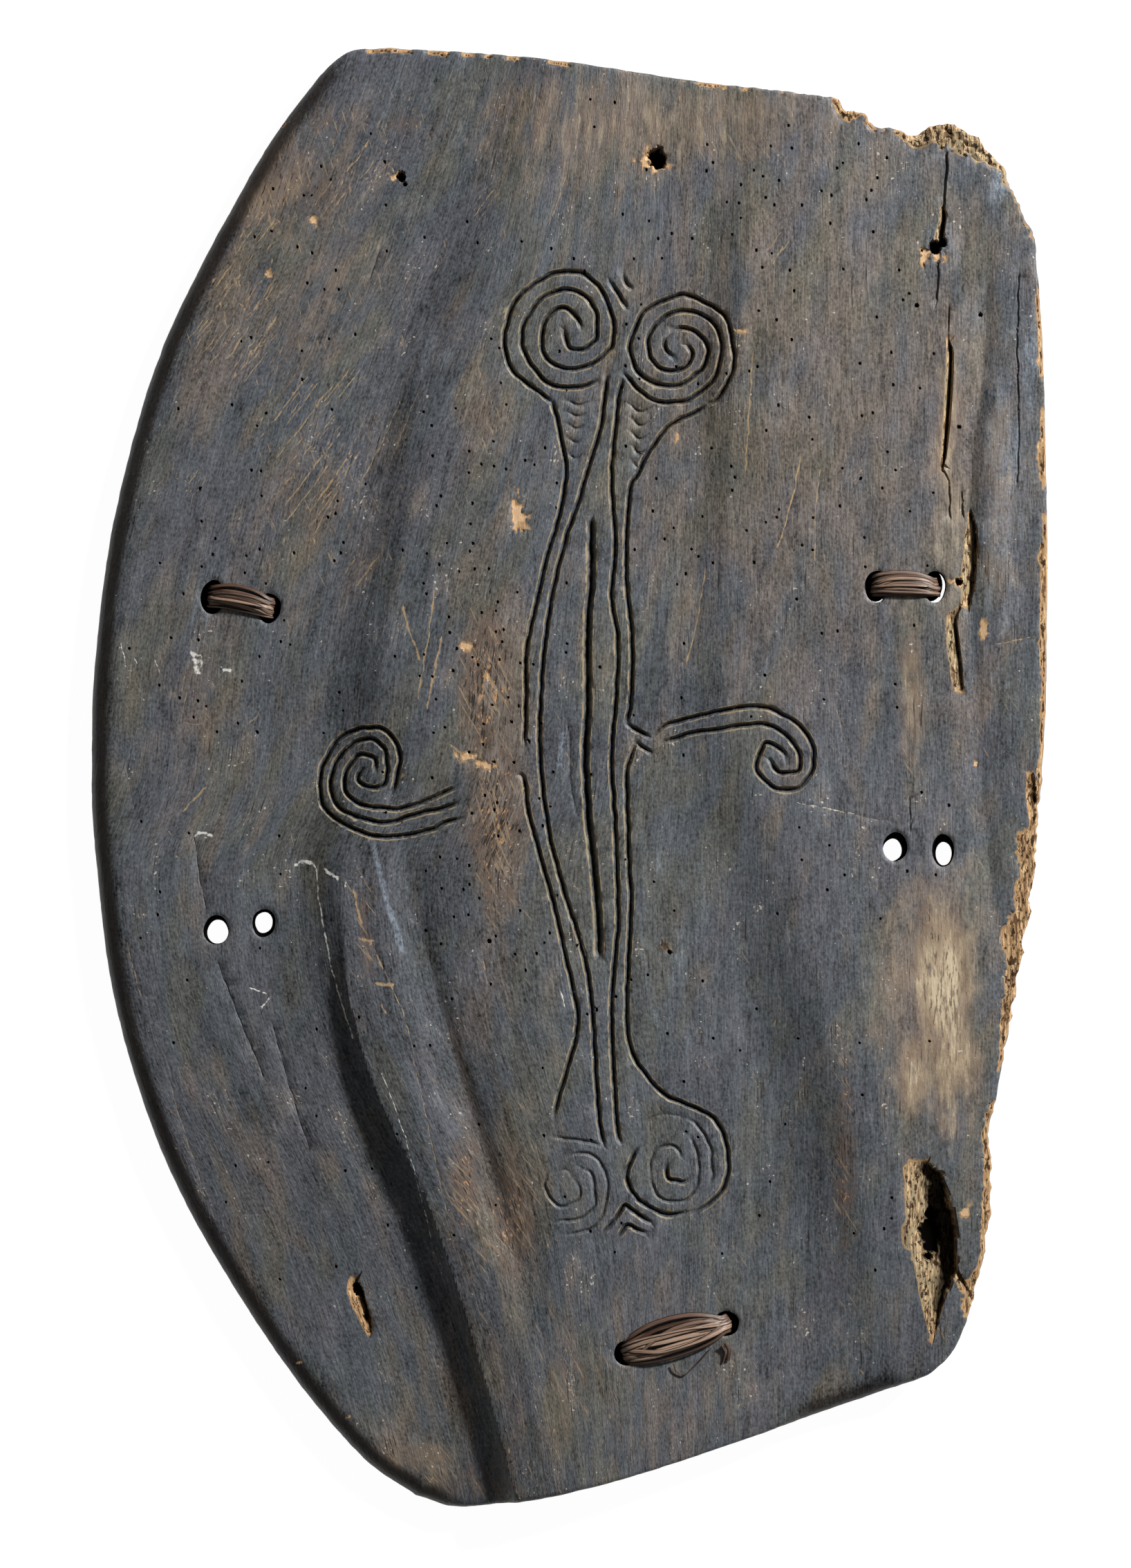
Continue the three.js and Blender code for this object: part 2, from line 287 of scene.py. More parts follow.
# %% Draw the spirals and the arms
SPIRALS = [
    [(-14, 298), (-34, 313), (-45, 323), (-51, 344), (-49, 360), (-44, 375), (-34, 386), (-12, 399), (9, 400),
     (17, 395), (26, 386), (35, 364), (35, 347), (32, 339), (17, 327), (-4, 324), (-20, 336), (-20, 356),
     (-16, 366), (-9, 371), (-1, 371), (5, 366), (9, 360), (10, 356)],
    [(23, 314), (7, 309), (-4, 309), (-13, 311), (-22, 317), (-35, 336), (-37, 346), (-36, 358), (-32, 367),
     (-24, 377), (-16, 383), (-6, 386), (4, 386), (12, 382), (18, 376), (22, 367), (22, 349), (17, 343),
     (11, 339), (4, 339), (-1, 343), (-4, 355)],
    [(110, 296), (119, 301), (128, 318), (131, 330), (130, 343), (126, 362), (119, 370), (98, 381), (86, 382),
     (65, 373), (57, 365), (49, 346), (49, 336), (53, 324), (60, 317), (69, 312), (81, 310), (90, 312),
     (99, 318), (106, 324), (110, 333), (111, 339), (108, 346), (101, 353), (92, 356), (83, 356)],
    [(44, 320), (53, 310), (62, 302), (70, 298), (83, 297), (94, 299), (102, 304), (111, 311), (118, 322),
     (121, 343), (114, 361), (95, 370), (76, 365), (64, 351), (64, 336), (69, 327), (76, 323), (83, 322),
     (90, 324), (95, 329), (98, 336), (96, 340), (93, 343)],
    [(77, 348), (76, 343), (78, 338), (83, 333)],
    [(-87, -33), (-98, -36), (-108, -41), (-128, -46), (-153, -47), (-180, -36), (-193, -25), (-197, -16),
     (-197, 4), (-194, 12), (-183, 30), (-166, 38), (-155, 39), (-147, 38), (-139, 31), (-135, 23),
     (-134, 13), (-138, -7), (-141, -13)],
    [(-87, -20), (-98, -24), (-122, -30), (-144, -36), (-166, -32), (-183, -23), (-189, -7), (-185, 12),
     (-175, 23), (-166, 29), (-155, 30), (-146, 22), (-144, 10), (-144, 3), (-148, -7), (-159, -8),
     (-167, -2), (-163, 8)],
    [(-90, -8), (-112, -18), (-132, -25), (-141, -25), (-161, -23), (-175, -14), (-178, 0), (-171, 13),
     (-164, 18), (-154, 15), (-153, 5)],
    [(67, 33), (74, 39), (86, 44), (111, 50), (130, 54), (144, 56), (156, 55), (165, 52), (184, 40),
     (193, 25), (194, 14), (193, 6), (183, -8), (172, -10), (164, -9), (156, -3), (150, 4), (149, 12),
     (154, 25), (159, 27), (169, 21), (172, 16)],
    [(75, 28), (98, 35), (121, 38), (149, 42), (159, 41), (169, 36), (182, 21), (182, 6), (170, 3), (164, 6),
     (161, 11), (158, 14)],
]
print(f"spirals and arms: {len(SPIRALS)} lines")

# %% Draw the stem
STEM = [
    [(-14, 298), (-10, 288), (-5, 264), (-2, 247), (-3, 232), (-9, 202), (-18, 173), (-26, 137), (-32, 111),
     (-34, 95), (-34, 63), (-35, 25)],
    [(30, 320), (29, 306), (25, 277), (15, 244), (10, 226), (-1, 194), (-10, 160), (-17, 121), (-21, 86),
     (-23, 48), (-23, 23), (-21, -7), (-15, -46), (-5, -86), (9, -130), (17, -169), (21, -226), (24, -268),
     (28, -293)],
    [(43, 316), (40, 304), (37, 276), (34, 244), (35, 215), (37, 183), (34, 144), (39, 109), (38, 73),
     (35, 35), (34, 10), (37, -43), (39, -113), (34, -177), (36, -241), (39, -282), (42, -290)],
    [(109, 295), (102, 290), (89, 284), (78, 277), (62, 256), (54, 239), (49, 230), (46, 197), (46, 153),
     (50, 113), (50, 76), (49, 58), (46, 42)],
    [(-40, 2), (-36, 0), (-34, -9), (-33, -24), (-24, -58), (-12, -101), (-2, -144), (6, -179), (7, -195),
     (5, -210), (-5, -243), (-12, -269)],
    [(53, 26), (48, 13), (46, -3), (48, -75), (49, -101), (46, -173), (46, -195), (48, -211), (53, -224),
     (62, -237), (76, -252), (88, -257), (110, -267), (119, -276), (126, -296), (125, -319), (116, -334),
     (102, -344)],
    [(46, 42), (55, 37), (65, 31)],
    [(53, 28), (59, 24), (66, 19)],
    [(32, 393), (39, 384), (46, 371)],
    [(43, 397), (46, 392), (50, 387)],
    [(56, -293), (52, -298), (46, -314), (48, -323), (53, -332), (60, -338), (76, -346), (92, -345)],
    [(78, -306), (77, -311), (79, -318), (86, -320), (91, -321), (95, -318)],
    [(27, -361), (35, -352), (42, -342), (45, -339), (53, -345), (65, -353)],
    [(39, -365), (45, -356), (49, -355), (56, -359), (61, -361)],
]
LENS_LINE = [
    (18, 204), (18, 176), (18, 156), (15, 121), (15, 57), (13, 14), (16, -35), (22, -90), (24, -127),
    (24, -143),
]
print(f"stem: {len(STEM)} lines and the long lens in its middle")

# %% Draw the worn and faint lines
WORN_LINES = [
    [(95, -271), (102, -276), (112, -293), (113, -306), (114, -317), (109, -326)],
    [(65, -316), (68, -327), (75, -335), (92, -335), (101, -326), (103, -312), (101, -296), (96, -284)],
    [(2, -298), (15, -298), (23, -303), (28, -311), (31, -322), (28, -343), (23, -352), (15, -358),
     (-1, -362)],
    [(11, -310), (17, -313), (20, -320), (21, -331), (20, -340), (9, -349), (-11, -352)],
    [(6, -320), (9, -327), (7, -335), (-5, -340), (-11, -337), (-17, -329), (-19, -322), (-17, -314)],
    [(-12, -285), (17, -289), (26, -293)],
    [(65, -316), (65, -303), (73, -293), (84, -293), (90, -302)],
]
FAINT_LINES = [
    [(-12, -269), (-20, -277), (-39, -295), (-44, -305)],
    [(43, -290), (48, -286), (53, -282)],
    [(56, -276), (65, -270), (76, -267), (89, -269), (95, -271)],
    [(46, 371), (54, 377), (66, 385)],
    [(50, 387), (57, 390), (62, 396)],
    [(66, 31), (70, 36), (75, 41)],
    [(66, 19), (72, 23), (77, 26)],
    [(-2, 48), (1, 27), (1, 2), (6, -30)],
    [(-10, -316), (-6, -311), (0, -312), (3, -318)],
]
print(f"worn lines: {len(WORN_LINES)}, faint lines: {len(FAINT_LINES)}")

# %% Draw the crescents and gather the cuts
def crescents(x_from, x_to, heights, sag, shrink):
    """A stack of short carved crescents, each a little smaller than the one above it."""
    stack = []
    for count, y in enumerate(heights):
        half = 0.5 * (x_to - x_from) * shrink**count
        middle = 0.5 * (x_from + x_to) - 0.6 * count
        lowest = (middle - 0.1 * half, y - sag)
        stack.append([(middle - half, y + sag), lowest, (middle + half, y + 0.4 * sag)])
    return stack


CRESCENTS = crescents(-2, 17, (297, 288, 278, 267, 255), 2.0, 0.85)
CRESCENTS += crescents(48, 68, (293, 282, 271, 260, 248), 3.0, 0.85)
# Each kind of cut: its lines, half width and depth
CUTS = [
    (SPIRALS + STEM, 2.7, 4.2), ([LENS_LINE], 4.0, 6.5), (WORN_LINES, 2.1, 1.9), (FAINT_LINES, 1.8, 0.9),
    (CRESCENTS, 1.9, 2.0),
]
carved_lines = [(line, half, depth) for lines, half, depth in CUTS for line in lines]
print(f"carved lines: {len(carved_lines)}")

# %% [markdown]
# ## Cracks, scratches, holes and rot
# Old wood splits along its grain, beetles leave round holes two millimetres wide, and rot eats out long
# hollows. These are what make the plank look old, so they are real dents in the mesh and not only paint.
# Each kind is a short list here, or a seeded scatter where the real ones are scattered.

# %% Cracks and slots
# Hair cracks: points, half width, depth
CRACKS = [
    ([(300, 496), (299, 470), (297, 450)], 1.2, 5.0),
    ([(293, 412), (293, 396), (292, 378)], 1.0, 4.5),
    ([(301, 352), (302, 375)], 0.9, 3.0),
    ([(297, 244), (301, 236), (303, 205)], 0.9, 3.5),
    ([(312, 228), (313, 206)], 1.0, 3.5),
    ([(357, 400), (356, 340), (357, 285), (356, 232)], 0.9, 2.4),
    ([(-298, -43), (-293, -80), (-288, -106)], 0.7, 0.7),
    ([(-279, -147), (-262, -190), (-242, -239)], 0.7, 0.8),
    ([(-235, -197), (-222, -245), (-206, -296)], 0.7, 0.7),
    ([(270, -14), (271, -44)], 0.9, 2.0),
    ([(-150, 420), (-158, 395)], 0.8, 1.5),
]
# Slots, deepest along their right side. Each point: place, half width, depth
SLOTS = [
    [(301, 347, 1.5, 4), (302, 336, 3.0, 7), (301, 305, 3.0, 8), (299, 275, 2.8, 8), (297, 252, 2.2, 6),
     (296, 243, 1, 3)],
    [(319, 209, 2.0, 6), (320, 190, 5.0, 5), (318, 167, 6.0, 4), (317, 150, 5.5, 4), (315, 137, 4.0, 3)],
    [(309, 134, 2.5, 3), (304, 127, 4.5, 4), (305, 109, 5.0, 5), (307, 93, 5.0, 4), (308, 79, 5.2, 4),
     (310, 69, 4.0, 2)],
    [(296, 452, 1.5, 4), (297, 446, 3.2, 8), (296, 438, 3.4, 9), (294, 428, 4.0, 10)],
    [(277, -305, 9, 3), (279, -313, 15, 8), (284, -337, 20, 16), (288, -368, 21, 18), (290, -386, 18, 14),
     (289, -403, 14, 8), (288, -419, 9, 5), (288, -444, 2, 1)],
    [(304, -386, 3.0, 3), (309, -397, 4.0, 4), (313, -406, 3.5, 3)],
    [(-171, -401, 4.0, 5), (-169, -408, 6.5, 7), (-166, -418, 6.5, 6), (-162, -430, 5.5, 5),
     (-159, -441, 3, 2)],
    [(366, 2, 3.0, 3), (367, -16, 4.5, 5), (368, -34, 3.0, 4)],
]
print(f"cracks: {len(CRACKS)}, slots: {len(SLOTS)}")

# %% Scratches and scuffs
# Scratches that show pale wood: points, half width
SCRATCHES = [
    ([(109, 167), (101, 120), (92, 85)], 1.4), ([(146, 340), (143, 290), (140, 240)], 1.6),
    ([(184, 255), (176, 215), (165, 180)], 1.6), ([(200, 245), (196, 215), (195, 170)], 1.2),
    ([(-1, 478), (-10, 452), (-18, 431)], 1.0), ([(-132, 138), (-126, 115), (-117, 90)], 2.2),
    ([(-106, 150), (-111, 110), (-120, 60)], 1.6), ([(-100, 113), (-106, 85), (-113, 51)], 2.1),
    ([(180, -20), (215, -28), (257, -36)], 0.9),
    ([(-133, 300), (-150, 262), (-170, 225)], 1.0), ([(-115, 318), (-128, 284), (-141, 250)], 0.9),
    ([(-160, 290), (-172, 262), (-186, 238)], 0.9), ([(-172, 250), (-190, 215), (-204, 190)], 1.0),
    ([(-95, 26), (-86, 20), (-78, 17), (-73, 13)], 2.2), ([(338, 105), (352, 108), (372, 112)], 1.1),
    ([(-157, -130), (-130, -190), (-118, -245), (-106, -300), (-95, -352)], 0.9),
    ([(-352, 10), (-345, -30)], 0.8), ([(-230, 330), (-238, 300)], 0.9), ([(-252, 385), (-262, 355)], 0.9),
    ([(60, -30), (63, -70)], 0.7), ([(-68, -144), (-66, -155)], 1.5), ([(210, 60), (222, 20)], 0.8),
    ([(-287, -7), (-296, -16), (-308, -29)], 2.2), ([(-302, 70), (-305, 58), (-308, 46)], 1.0),
    ([(-308, 45), (-298, 42), (-289, 44)], 0.9), ([(-304, 83), (-308, 67)], 1.0),
    ([(-171, -87), (-167, -105), (-163, -118)], 2.4),
    ([(-168, -127), (-160, -130), (-152, -129)], 2.2), ([(-155, -162), (-146, -165), (-136, -163)], 2.5),
    ([(-152, -140), (-148, -152)], 1.9), ([(-150, -178), (-143, -188)], 1.7),
    ([(-318, -239), (-304, -285), (-287, -338)], 0.9), ([(-350, -134), (-345, -155), (-339, -176)], 0.9),
]
# Bundles of slanting scuffs: where the first one starts, how long they are and how many
SCUFFS = [
    (-264, 361, 53, 9), (-232, 367, 60, 6), (-214, 322, 70, 8), (-191, 297, 60, 6), (-208, 263, 70, 7),
    (-191, 235, 44, 6), (-175, 330, 46, 5), (-282, 420, 44, 8), (-250, 452, 50, 8), (-300, 250, 30, 5),
    (170, 430, 36, 3), (-60, 470, 36, 3), (230, 250, 34, 3), (-160, 180, 40, 4), (-250, 60, 24, 3),
    (-236, 400, 44, 6), (-178, 268, 60, 5), (-290, 365, 34, 6), (-160, 505, 40, 7), (-185, 470, 36, 5),
]
SCUFF_WAY = (-0.6, -0.8)
# How far each stroke lies to the right of the last one and below it
SCUFF_STEP = (3.4, -2.4)


def scuff_lines():
    """Short strokes side by side, each with its own length and a little bend."""
    lines = []
    for x, y, length, count in SCUFFS:
        for stroke in range(count):
            along = length * random.uniform(0.45, 1.0)
            sx = x + SCUFF_STEP[0] * stroke + random.uniform(-1.5, 1.5)
            sy = y + SCUFF_STEP[1] * stroke + random.uniform(-6, 6)
            bend = random.uniform(-1.5, 1.5)
            middle = (sx + 0.5 * along * SCUFF_WAY[0] + bend, sy + 0.5 * along * SCUFF_WAY[1])
            end = (sx + along * SCUFF_WAY[0], sy + along * SCUFF_WAY[1])
            lines.append(([(sx, sy), middle, end], random.uniform(0.7, 1.15)))
    return lines


scratch_lines = SCRATCHES + scuff_lines()
print(f"scratches and scuffs: {len(scratch_lines)}")

# %% Curls of fibre
# Places rubbed to short curls of pale fibre: middle, half sizes and how many
CURLS = [
    (-68, 75, 22, 55, 34), (-60, -20, 16, 60, 22), (-232, 470, 60, 50, 34), (-205, 400, 60, 60, 18),
    (-70, 285, 14, 36, 10), (-46, -345, 24, 50, 20), (60, 525, 150, 16, 22), (-240, 330, 50, 60, 12),
    (-200, 210, 50, 50, 12), (330, 60, 30, 100, 16), (-80, -555, 70, 14, 14), (345, 330, 22, 120, 16),
    (-132, 520, 30, 24, 40), (-215, 447, 14, 10, 10), (-40, 533, 34, 18, 30), (-262, 385, 30, 60, 44),
    (-180, 510, 50, 36, 40), (-110, -520, 60, 40, 24), (150, -480, 80, 30, 14), (0, -540, 80, 20, 14),
    (130, -300, 60, 90, 10), (0, -480, 60, 40, 10), (-270, -60, 70, 160, 14), (180, 420, 90, 80, 14),
]


def curl_lines():
    """Short bent strokes, most of them along the grain, that thin out from the middle of each place."""
    lines = []
    for x, y, wide, tall, count in CURLS:
        for stroke in range(count):
            turn = math.radians(random.gauss(90, 26))
            reach = 0.5 * random.uniform(2.5, 9.0)
            way = np.array([math.cos(turn), math.sin(turn)]) * reach
            middle = np.array([random.gauss(x, 0.6 * wide), random.gauss(y, 0.6 * tall)])
            bend = np.array([-way[1], way[0]]) * random.uniform(-0.4, 0.4)
            lines.append(([middle - way, middle + bend, middle + way], random.uniform(0.8, 1.5)))
    return lines


print(f"curls of fibre to come: {sum(count for *place, count in CURLS)}")

# %% Chalk, bloom and painted sheen, pits and chips
# White marks of chalk or lime: points, half width
CHALK = [
    ([(-200, -73), (-198, -98), (-192, -130), (-186, -160), (-171, -207)], 1.3),
    ([(-217, -70), (-210, -67), (-202, -69)], 2.8), ([(-193, -74), (-188, -77), (-183, -81)], 2.8),
    ([(-146, -238), (-128, -290), (-109, -365)], 1.1), ([(206, -510), (255, -490), (285, -470)], 1.2),
    ([(10, -126), (13, -142)], 1.2), ([(-6, -172), (-4, -180)], 1.5),
    ([(181, -20), (205, -25), (226, -29)], 0.9), ([(-252, -168), (-240, -172)], 1.3),
    ([(-243, -182), (-238, -176)], 1.3), ([(-298, 98), (-296, 90), (-295, 83)], 4.5),
    ([(-292, 97), (-292, 90)], 3.0), ([(-274, 85), (-268, 85)], 3.0),
    ([(-297, -46), (-291, -44), (-284, -46)], 2.6), ([(-355, 106), (-353, 96), (-352, 88)], 1.1),
    ([(-328, 91), (-325, 85)], 1.1), ([(-344, 93), (-343, 91)], 1.2),
]
# Narrow streaks of blue white bloom and painted highlight: points, half width
SHEEN_AND_BLOOM_LINES = [
    ([(-157, -49), (-152, -66), (-148, -81), (-144, -99), (-138, -118), (-132, -137)], 3.4),
    ([(-4, 34), (-6, 22), (-7, 8)], 3.0), ([(360, 480), (366, 470), (370, 452)], 3.0),
]
# Round pits: middle, half sizes, depth
PITS = [
    (80, -139, 2.4, 2.0, 3.0), (70, 491, 7.6, 8.8, 13.0), (-133, 477, 4.0, 4.4, 10.0),
    (291, 420, 5.0, 5.6, 13.0), (310, 155, 2.8, 2.8, 8.0), (287, -361, 8.6, 23.0, 15.0),
    (-168, -407, 3.6, 5.0, 12.0), (-161, -429, 2.0, 3.0, 8.0), (-130, 471, 2.0, 2.0, 5.0),
    (297, 424, 3.4, 5.0, 11.0), (327, 367, 1.8, 1.6, 5.0), (-63, -130, 1.8, 1.8, 5.0),
    (276, 374, 1.8, 1.8, 5.0), (310, 278, 2.2, 1.6, 5.0),
]
# Chips of fresh tan wood: middle, half sizes, depth
CHIPS = [
    (289, 415, 8.5, 8.5, 1.2), (-82, 105, 5.0, 4.0, 0.5), (-64, 82, 3.5, 9.0, 0.6),
    (-66, 10, 9.0, 4.5, 0.5), (-40, 208, 5.0, 13.0, 1.0), (134, 354, 4.0, 1.8, 0.6),
    (87, 270, 3.0, 3.0, 0.6), (-205, 442, 4.5, 4.0, 0.8), (-82, 17, 9.0, 4.0, 0.6),
    (-240, 400, 4.0, 3.0, 0.5), (346, -308, 3.0, 5.0, 0.6), (322, 10, 2.0, 5.0, 0.8),
    (-228, 520, 4.0, 3.0, 0.8), (330, 115, 4.0, 5.0, 0.5), (-216, -468, 2.2, 3.5, 0.4),
    (315, -345, 3.0, 4.0, 0.6), (-176, -508, 4.0, 2.0, 0.3), (-136, 477, 6.5, 6.0, 0.4),
    (309, 155, 5.5, 5.0, 0.5), (65, 489, 9.5, 9.0, 0.4),
]
print(f"chalk marks: {len(CHALK)}, pits: {len(PITS)}, chips: {len(CHIPS)}")

# %% Worm holes
WORM_HOLES = 420
WORM_RADII = (0.8, 0.95, 1.05, 1.2, 1.4)
WORM_DEPTH = 3.2
WORM_GAP = 6
WORM_FROM_EDGE = 16
# Middle and half sizes of each area, and its share of the holes
WORM_AREAS = [
    (-20, 60, 330, 480, 0.5), (-250, 260, 80, 240, 0.1), (-60, 90, 60, 260, 0.2), (160, 330, 120, 190, 0.2),
]


def scatter_worm_holes():
    """Seeded beetle holes: a few close groups in a wide scatter."""
    found = []
    while len(found) < WORM_HOLES:
        pick = random.random()
        for x, y, wide, tall, share in WORM_AREAS:
            pick -= share
            if pick < 0:
                break
        spot = (x + wide * random.uniform(-1, 1), y + tall * random.uniform(-1, 1))
        radius = random.choice(WORM_RADII)
        clear = all(math.dist(spot, other[:2]) > WORM_GAP for other in found)
        if clear:
            found.append((*spot, radius, radius * random.uniform(1.0, 1.25), WORM_DEPTH))
    return found


def from_edge(hole):
    """How far the middle of a hole lies from the outline."""
    return np.hypot(*(edge_line - hole[:2]).T).min()


worm_holes = [hole for hole in scatter_worm_holes() if from_edge(hole) > WORM_FROM_EDGE]
print(f"worm holes: {len(worm_holes)}")

# %% [markdown]
# The right edge and the upper right corner have lost their dark skin, and the raw wood is ragged. How far in
# it reaches is again a small table, read along the edge.

# %% Raw wood along the edge
# Height on the shield and how far in from the edge the raw wood reaches
RAW_RIGHT = [
    (410, 0), (380, 4), (330, 6), (310, 1), (262, 7), (240, 7), (225, 1), (170, 8), (130, 5), (105, 7),
    (60, 4), (12, 4), (0, 5), (-40, 6), (-47, 19), (-60, 17), (-80, 12), (-104, 11), (-116, 17), (-135, 15),
    (-152, 12), (-190, 8), (-232, 3), (-250, 0), (-262, 6), (-300, 7), (-352, 7), (-388, 4), (-404, 11),
    (-418, 9), (-434, 0),
]
# Place along the broken corner and how far in from the edge its crumbly wood reaches
RAW_CORNER = [
    (120, 1), (170, 2), (205, 0), (214, 8), (226, 8), (238, 3), (262, 2), (272, 9), (290, 18), (312, 21),
    (330, 16), (342, 7), (350, 3), (372, 3),
]
# How far in the small nicks along the top edge reach
TOP_NICKS = 4.4


def raw_reach(x, y):
    """How far in the raw wood reaches at points of the edge."""
    heights, reach = np.array(sorted(RAW_RIGHT), float).T
    places, corner_reach = np.array(RAW_CORNER, float).T
    right = np.interp(y, heights, reach) * (x > 250)
    corner = np.interp(x, places, corner_reach, left=0.0) * smoothstep(412, 425, y)
    chance = noise_at(x, y, 16, 16, 9.0) + 0.3 * smoothstep(50, 0, x)
    nicks = TOP_NICKS * smoothstep(-0.1, 0.25, chance) * smoothstep(470, 500, y)
    nicks *= smoothstep(-190, -165, x)
    return np.maximum.reduce([right, corner, nicks])


edge_reach = raw_reach(*edge_line.T)
edge_tree = kdtree.KDTree(len(edge_line))
for number, (x, y) in enumerate(edge_line):
    edge_tree.insert((x, y, 0), number)
edge_tree.balance()
print(f"raw edge: {np.count_nonzero(edge_reach > 1) * EDGE_STEP:.0f} mm long")

# %% [markdown]
# ## Holes right through
# The cane passes through pairs of holes. Two more pairs have lost their lashing, and show that a hole narrows
# towards the back. A hole is an edge of the sheet, so it is a ring of points, not a dent.

# %% List the through holes
# Middle, half sizes on the front, how the back mouth shrinks, and how far it shifts
EMPTY_HOLES = [
    (-280, -121, 10.4, 11.8, 0.8, (0.3, -2.2)), (-242, -116, 9.5, 11.4, 0.72, (-1, 0)),
    (259, -55, 10, 11.9, 0.75, (-1.3, -3)), (297, -58, 9, 13.2, 0.7, (1.8, -3)),
]
LASHING_HOLES = {
    "cane_lashing_upper_left": [(-283, 143, 9.5, 13.5, 1, (0, 0)), (-238, 134, 9.5, 12, 1, (0, 0))],
    "cane_lashing_upper_right": [(244, 151, 9, 12.5, 1, (0, 0)), (291, 151, 9, 12.5, 1, (0, 0))],
    "cane_lashing_lower": [(46, -456, 10, 10, 1, (0, 0)), (125, -433, 10, 10, 1, (0, 0))],
}
through_holes = EMPTY_HOLES + [hole for pair in LASHING_HOLES.values() for hole in pair]
RING_POINTS = 36
MOUTH_WOBBLE = 0.09


def ring(x, y, half_x, half_y, count, wobble=0.0):
    """Points round a slightly uneven oval."""
    turn = np.linspace(0, 2 * math.pi, count, endpoint=False)
    uneven = np.array([noise.noise(Vector((math.cos(t) + x, math.sin(t) + y, 2.0))) for t in turn])
    size = 1 + wobble * uneven
    return np.column_stack([x + half_x * size * np.cos(turn), y + half_y * size * np.sin(turn)])


front_rings = [ring(x, y, rx, ry, RING_POINTS, MOUTH_WOBBLE) for x, y, rx, ry, shrink, lean in through_holes]
back_rings = []
for (x, y, rx, ry, shrink, lean), mouth in zip(through_holes, front_rings):
    back_rings.append((mouth - (x, y)) * shrink + (x + lean[0], y + lean[1]))
print(f"through holes: {len(through_holes)}")

# %% [markdown]
# ## Weaving the front sheet
# A plain grid fine enough for the grooves would need millions of faces. Instead points are laid where the
# shape needs them: rails along every groove and crack, rings round every hole, and a loose spread over the
# plain wood between. Blender's own Delaunay triangulation then joins them into one sheet.

# %% Lay rails along the lines
# Where the rails lie, in half widths of their line
GROOVE_RAILS = (-1.3, -1.0, -0.5, 0.0, 0.5, 1.0, 1.3)
SCRATCH_RAILS = (-1.0, 0.0, 1.0)
STAIN_RAILS = (-1.0, -0.5, 0.0, 0.5, 1.0)
FINE_STEP = 0.8
# Over what length a carved line, and any other, runs out at its ends
CARVED_RUN_OUT = 12.0
OTHER_RUN_OUT = 4.0
SCRATCH_DEEPEST = 0.285
spots = []
bottoms = []


def hand_cut(points, step, sway):
    """A smooth line with the small sway of a hand-held blade."""
    line = curve_through(points, step)
    side = normals_of(line)
    return line + side * (sway * noise_at(*line.T, 9, 9, 4.0))[:, None]


def lay_rails(lines, kind, step, rails, sway):
    """Rails of points beside each line, and a record of the line's own width and depth along it."""
    for points, half, depth in lines:
        line = hand_cut(points, step, sway)
        side = normals_of(line)
        for rail in rails:
            spots.extend(line + side * (rail * half))
        fine = hand_cut(points, FINE_STEP, sway)
        from_end = np.minimum(np.arange(len(fine)), np.arange(len(fine))[::-1]) * FINE_STEP
        run_out = CARVED_RUN_OUT if kind == "carved" else OTHER_RUN_OUT
        for (x, y), ending in zip(fine, from_end):
            width = half * (1 + 0.25 * noise.noise(Vector((x / 7, y / 7, 8.0))))
            bottoms.append((x, y, width, depth * min(1.0, 0.3 + ending / run_out), kind))


def scratch_depth(half):
    """A wide scratch is deeper than a thin one, up to a limit."""
    return min(SCRATCH_DEEPEST, 0.12 + 0.15 * half)


scratches = [(line, half, scratch_depth(half)) for line, half in scratch_lines]
curls = [(line, half, random.uniform(0.2, 0.3)) for line, half in curl_lines()]
chalk_marks = [(line, half, 0.0) for line, half in CHALK]
sheen_and_bloom_streaks = [(line, half, 0.0) for line, half in SHEEN_AND_BLOOM_LINES]
lay_rails(carved_lines, "carved", 2.2, GROOVE_RAILS, 0.8)
lay_rails(CRACKS, "crack", 2.5, GROOVE_RAILS, 1.0)
lay_rails(scratches, "scratch", 3.0, SCRATCH_RAILS, 1.2)
lay_rails(curls, "scratch", 2.0, SCRATCH_RAILS, 0.8)
lay_rails(chalk_marks, "chalk", 2.5, STAIN_RAILS, 1.0)
lay_rails(sheen_and_bloom_streaks, "bloom", 2.5, STAIN_RAILS, 1.0)
print(f"points on rails: {len(spots)}")

# %% Lay points in the slots and along the raw edge
SLOT_RAILS = (-1.3, -1.05, -0.85, -0.55, -0.2, 0.15, 0.45, 0.7, 0.84, 0.95, 1.08, 1.3)
RAW_FIRST = 3.2
RAW_PAST = 4.0
RAW_STEP = 2.0


def slot_spine(slot, step):
    """Points along a slot with its half width and depth at each."""
    table = np.array(slot, float)
    line = curve_through(table[:, :2], step)
    along = np.linspace(0, 1, len(line))
    gaps = np.linalg.norm(np.diff(table[:, :2], axis=0), axis=1)
    marks = np.concatenate([[0], np.cumsum(gaps)]) / gaps.sum()
    return line, np.interp(along, marks, table[:, 2]), np.interp(along, marks, table[:, 3])


for slot in SLOTS:
    line, half, depth = slot_spine(slot, 2.0)
    for rail in SLOT_RAILS:
        spots.extend(np.column_stack([line[:, 0] + rail * half, line[:, 1]]))
inward = -normals_of(edge_line, closed=True)
for place, way, reach in zip(edge_line, inward, edge_reach):
    last = reach + RAW_PAST if reach > 1 else 0.0
    for far in np.arange(RAW_FIRST, last, RAW_STEP):
        shift = np.array([random.uniform(-0.7, 0.7), random.uniform(-0.7, 0.7)])
        spots.append(place + way * far + shift)
print(f"points with slots and raw edge: {len(spots)}")

